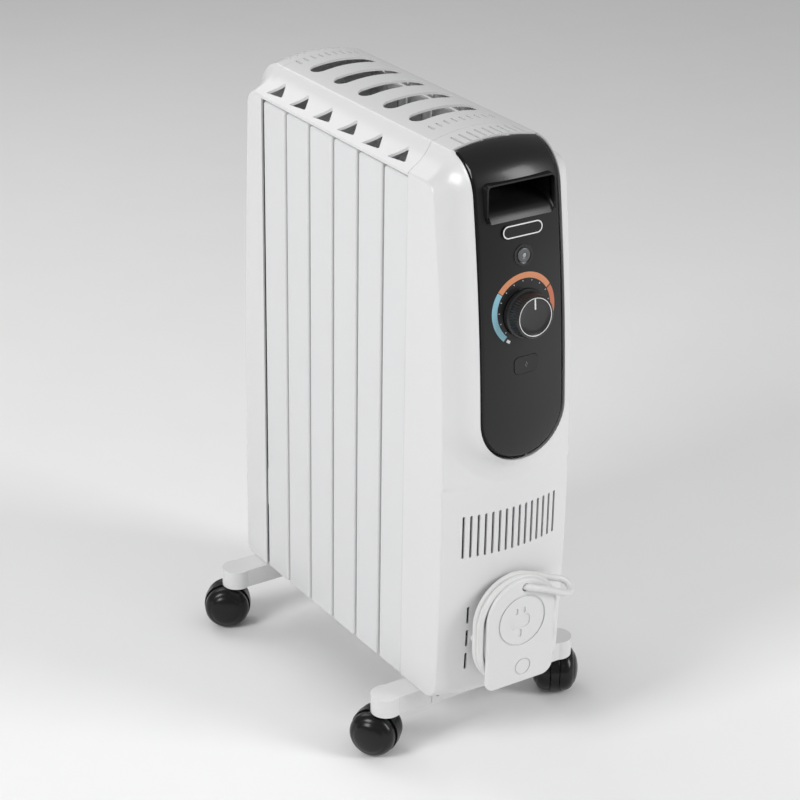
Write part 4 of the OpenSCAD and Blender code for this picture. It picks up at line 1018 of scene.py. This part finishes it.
# Half of a wheel's section: hub, stepped tread, and a domed side with a fine ring pressed into it.
wheel_outline = [(AXLE_R, 0.0050), (0.0190, 0.0050), (0.0200, 0.0062), (0.0222, 0.0062), (0.0232, 0.0050),
                 (0.0236, 0.0052), (WHEEL_R, 0.0060), (WHEEL_R, DOME_BASE)]
for i in range(1, 19):
    a = math.radians(5 * i)
    dent = DENT if i in (8, 9) else 0.0
    wheel_outline.append(((WHEEL_R - dent) * math.cos(a), DOME_BASE + (DOME_HIGH - dent) * math.sin(a)))
wheel_outline += [(0.0, 0.0152), (AXLE_R, 0.0152)]

for key, turn in CASTER_TURNS.items():
    hub = sum(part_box("caster_%s_axle" % key), Vector()) / 2
    across = Matrix.Translation(hub) @ Matrix.Rotation(math.radians(turn), 4, "Z")
    lying = across @ Matrix.Rotation(math.radians(90), 4, "Y")
    wheels_bm = bmesh.new()
    for flip in (1, -1):
        turned(wheels_bm, [(r, h * flip) for r, h in wheel_outline], 72)
    bmesh.ops.remove_doubles(wheels_bm, verts=wheels_bm.verts, dist=1e-6)
    piece("caster_%s_domes" % key, placed(wheels_bm, lying), caster_black, "caster_%s_roll" % key,
          ["caster_%s_wheels" % key], 28)

    hood_bm = bmesh.new()
    disc(hood_bm, WHEEL_R + HOOD_GAP, HOOD_T, lying, 96)
    hood_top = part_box("caster_%s_hood" % key)[1].z - 0.0001
    for height, outward in ((HOOD_LOW, -1), (hood_top, 1)):
        bmesh.ops.bisect_plane(hood_bm, geom=hood_bm.verts[:] + hood_bm.edges[:] + hood_bm.faces[:],
                               plane_co=(0, 0, height), plane_no=(0, 0, outward), clear_outer=True)
        bmesh.ops.holes_fill(hood_bm, edges=[e for e in hood_bm.edges if len(e.link_faces) == 1])
    bore = bmesh.new()
    disc(bore, AXLE_R + 0.00005, 0.02, lying, 32)
    hood = piece("caster_%s_fender" % key, carved(hood_bm, bore), caster_black, "caster_%s_swivel" % key,
                 ["caster_%s_hood" % key], 30)
    soften(hood, 0.0009, 3)


# ---- Plug ----
# White moulded mains plug, parked in the drum's cup, and the soft gland that the cord leaves the
# cover through. Both are moulded on the cord in its own PVC.
refinished("plug_body", cord_white)
refinished("cord_gland", cord_white)


# ---- Metal and inside parts ----
# Zinc plated steel screws, brackets, axles and stems, a drawn steel element and a brass nut, with
# the rubber gasket, thermostat, circuit board and sensor that sit behind the covers.
def metal(name, colour, roughness, streak):
    finish = Finish(name, colour, roughness, Metallic=1.0)
    brush = finish.noise(700.0, 3.0, streak)
    cloud = finish.noise(60.0, 2.0)
    finish.feed("Roughness", (brush - 0.5) * 0.16 + (cloud - 0.5) * 0.12 + roughness)
    finish.shade(cloud, [c * 0.8 for c in colour])
    finish.grain(brush, 0.00002)
    return finish


steel = metal("plated_steel", (0.62, 0.61, 0.59), 0.3, (1, 1, 0.08))
dark_steel = metal("element_steel", (0.30, 0.29, 0.28), 0.42, (1, 0.05, 1))
brass = metal("turned_brass", (0.75, 0.56, 0.27), 0.28, (1, 1, 1))
gasket_rubber = moulded("gasket_rubber", (0.02, 0.02, 0.02), 0.7, grain_size=0.0005, grain_depth=0.00003)
case_blue = moulded("thermostat_case", (0.05, 0.10, 0.22), 0.5, grain_size=0.0006, grain_depth=0.00002)
board_green = moulded("solder_mask", (0.015, 0.10, 0.035), 0.35, grain_size=0.0008, grain_depth=0.00001)
sensor_tan = moulded("sensor_lacquer", (0.36, 0.20, 0.09), 0.3, grain_size=0.0008, grain_depth=0.00001)
INSIDE = {
    "header_plugs": steel, "foot_brackets": steel, "foot_screws": steel, "cover_screws": steel,
    "knob_spindle": steel, "button_springs": steel, "plug_pins": steel, "heating_element": dark_steel,
    "element_gasket": gasket_rubber, "thermostat_body": case_blue, "spindle_nut": brass,
    "control_board": board_green, "room_sensor": sensor_tan,
}
for name, finish in INSIDE.items():
    refinished(name, finish)
for key in CASTER_TURNS:
    refinished("caster_%s_stem" % key, steel)
    refinished("caster_%s_axle" % key, steel)
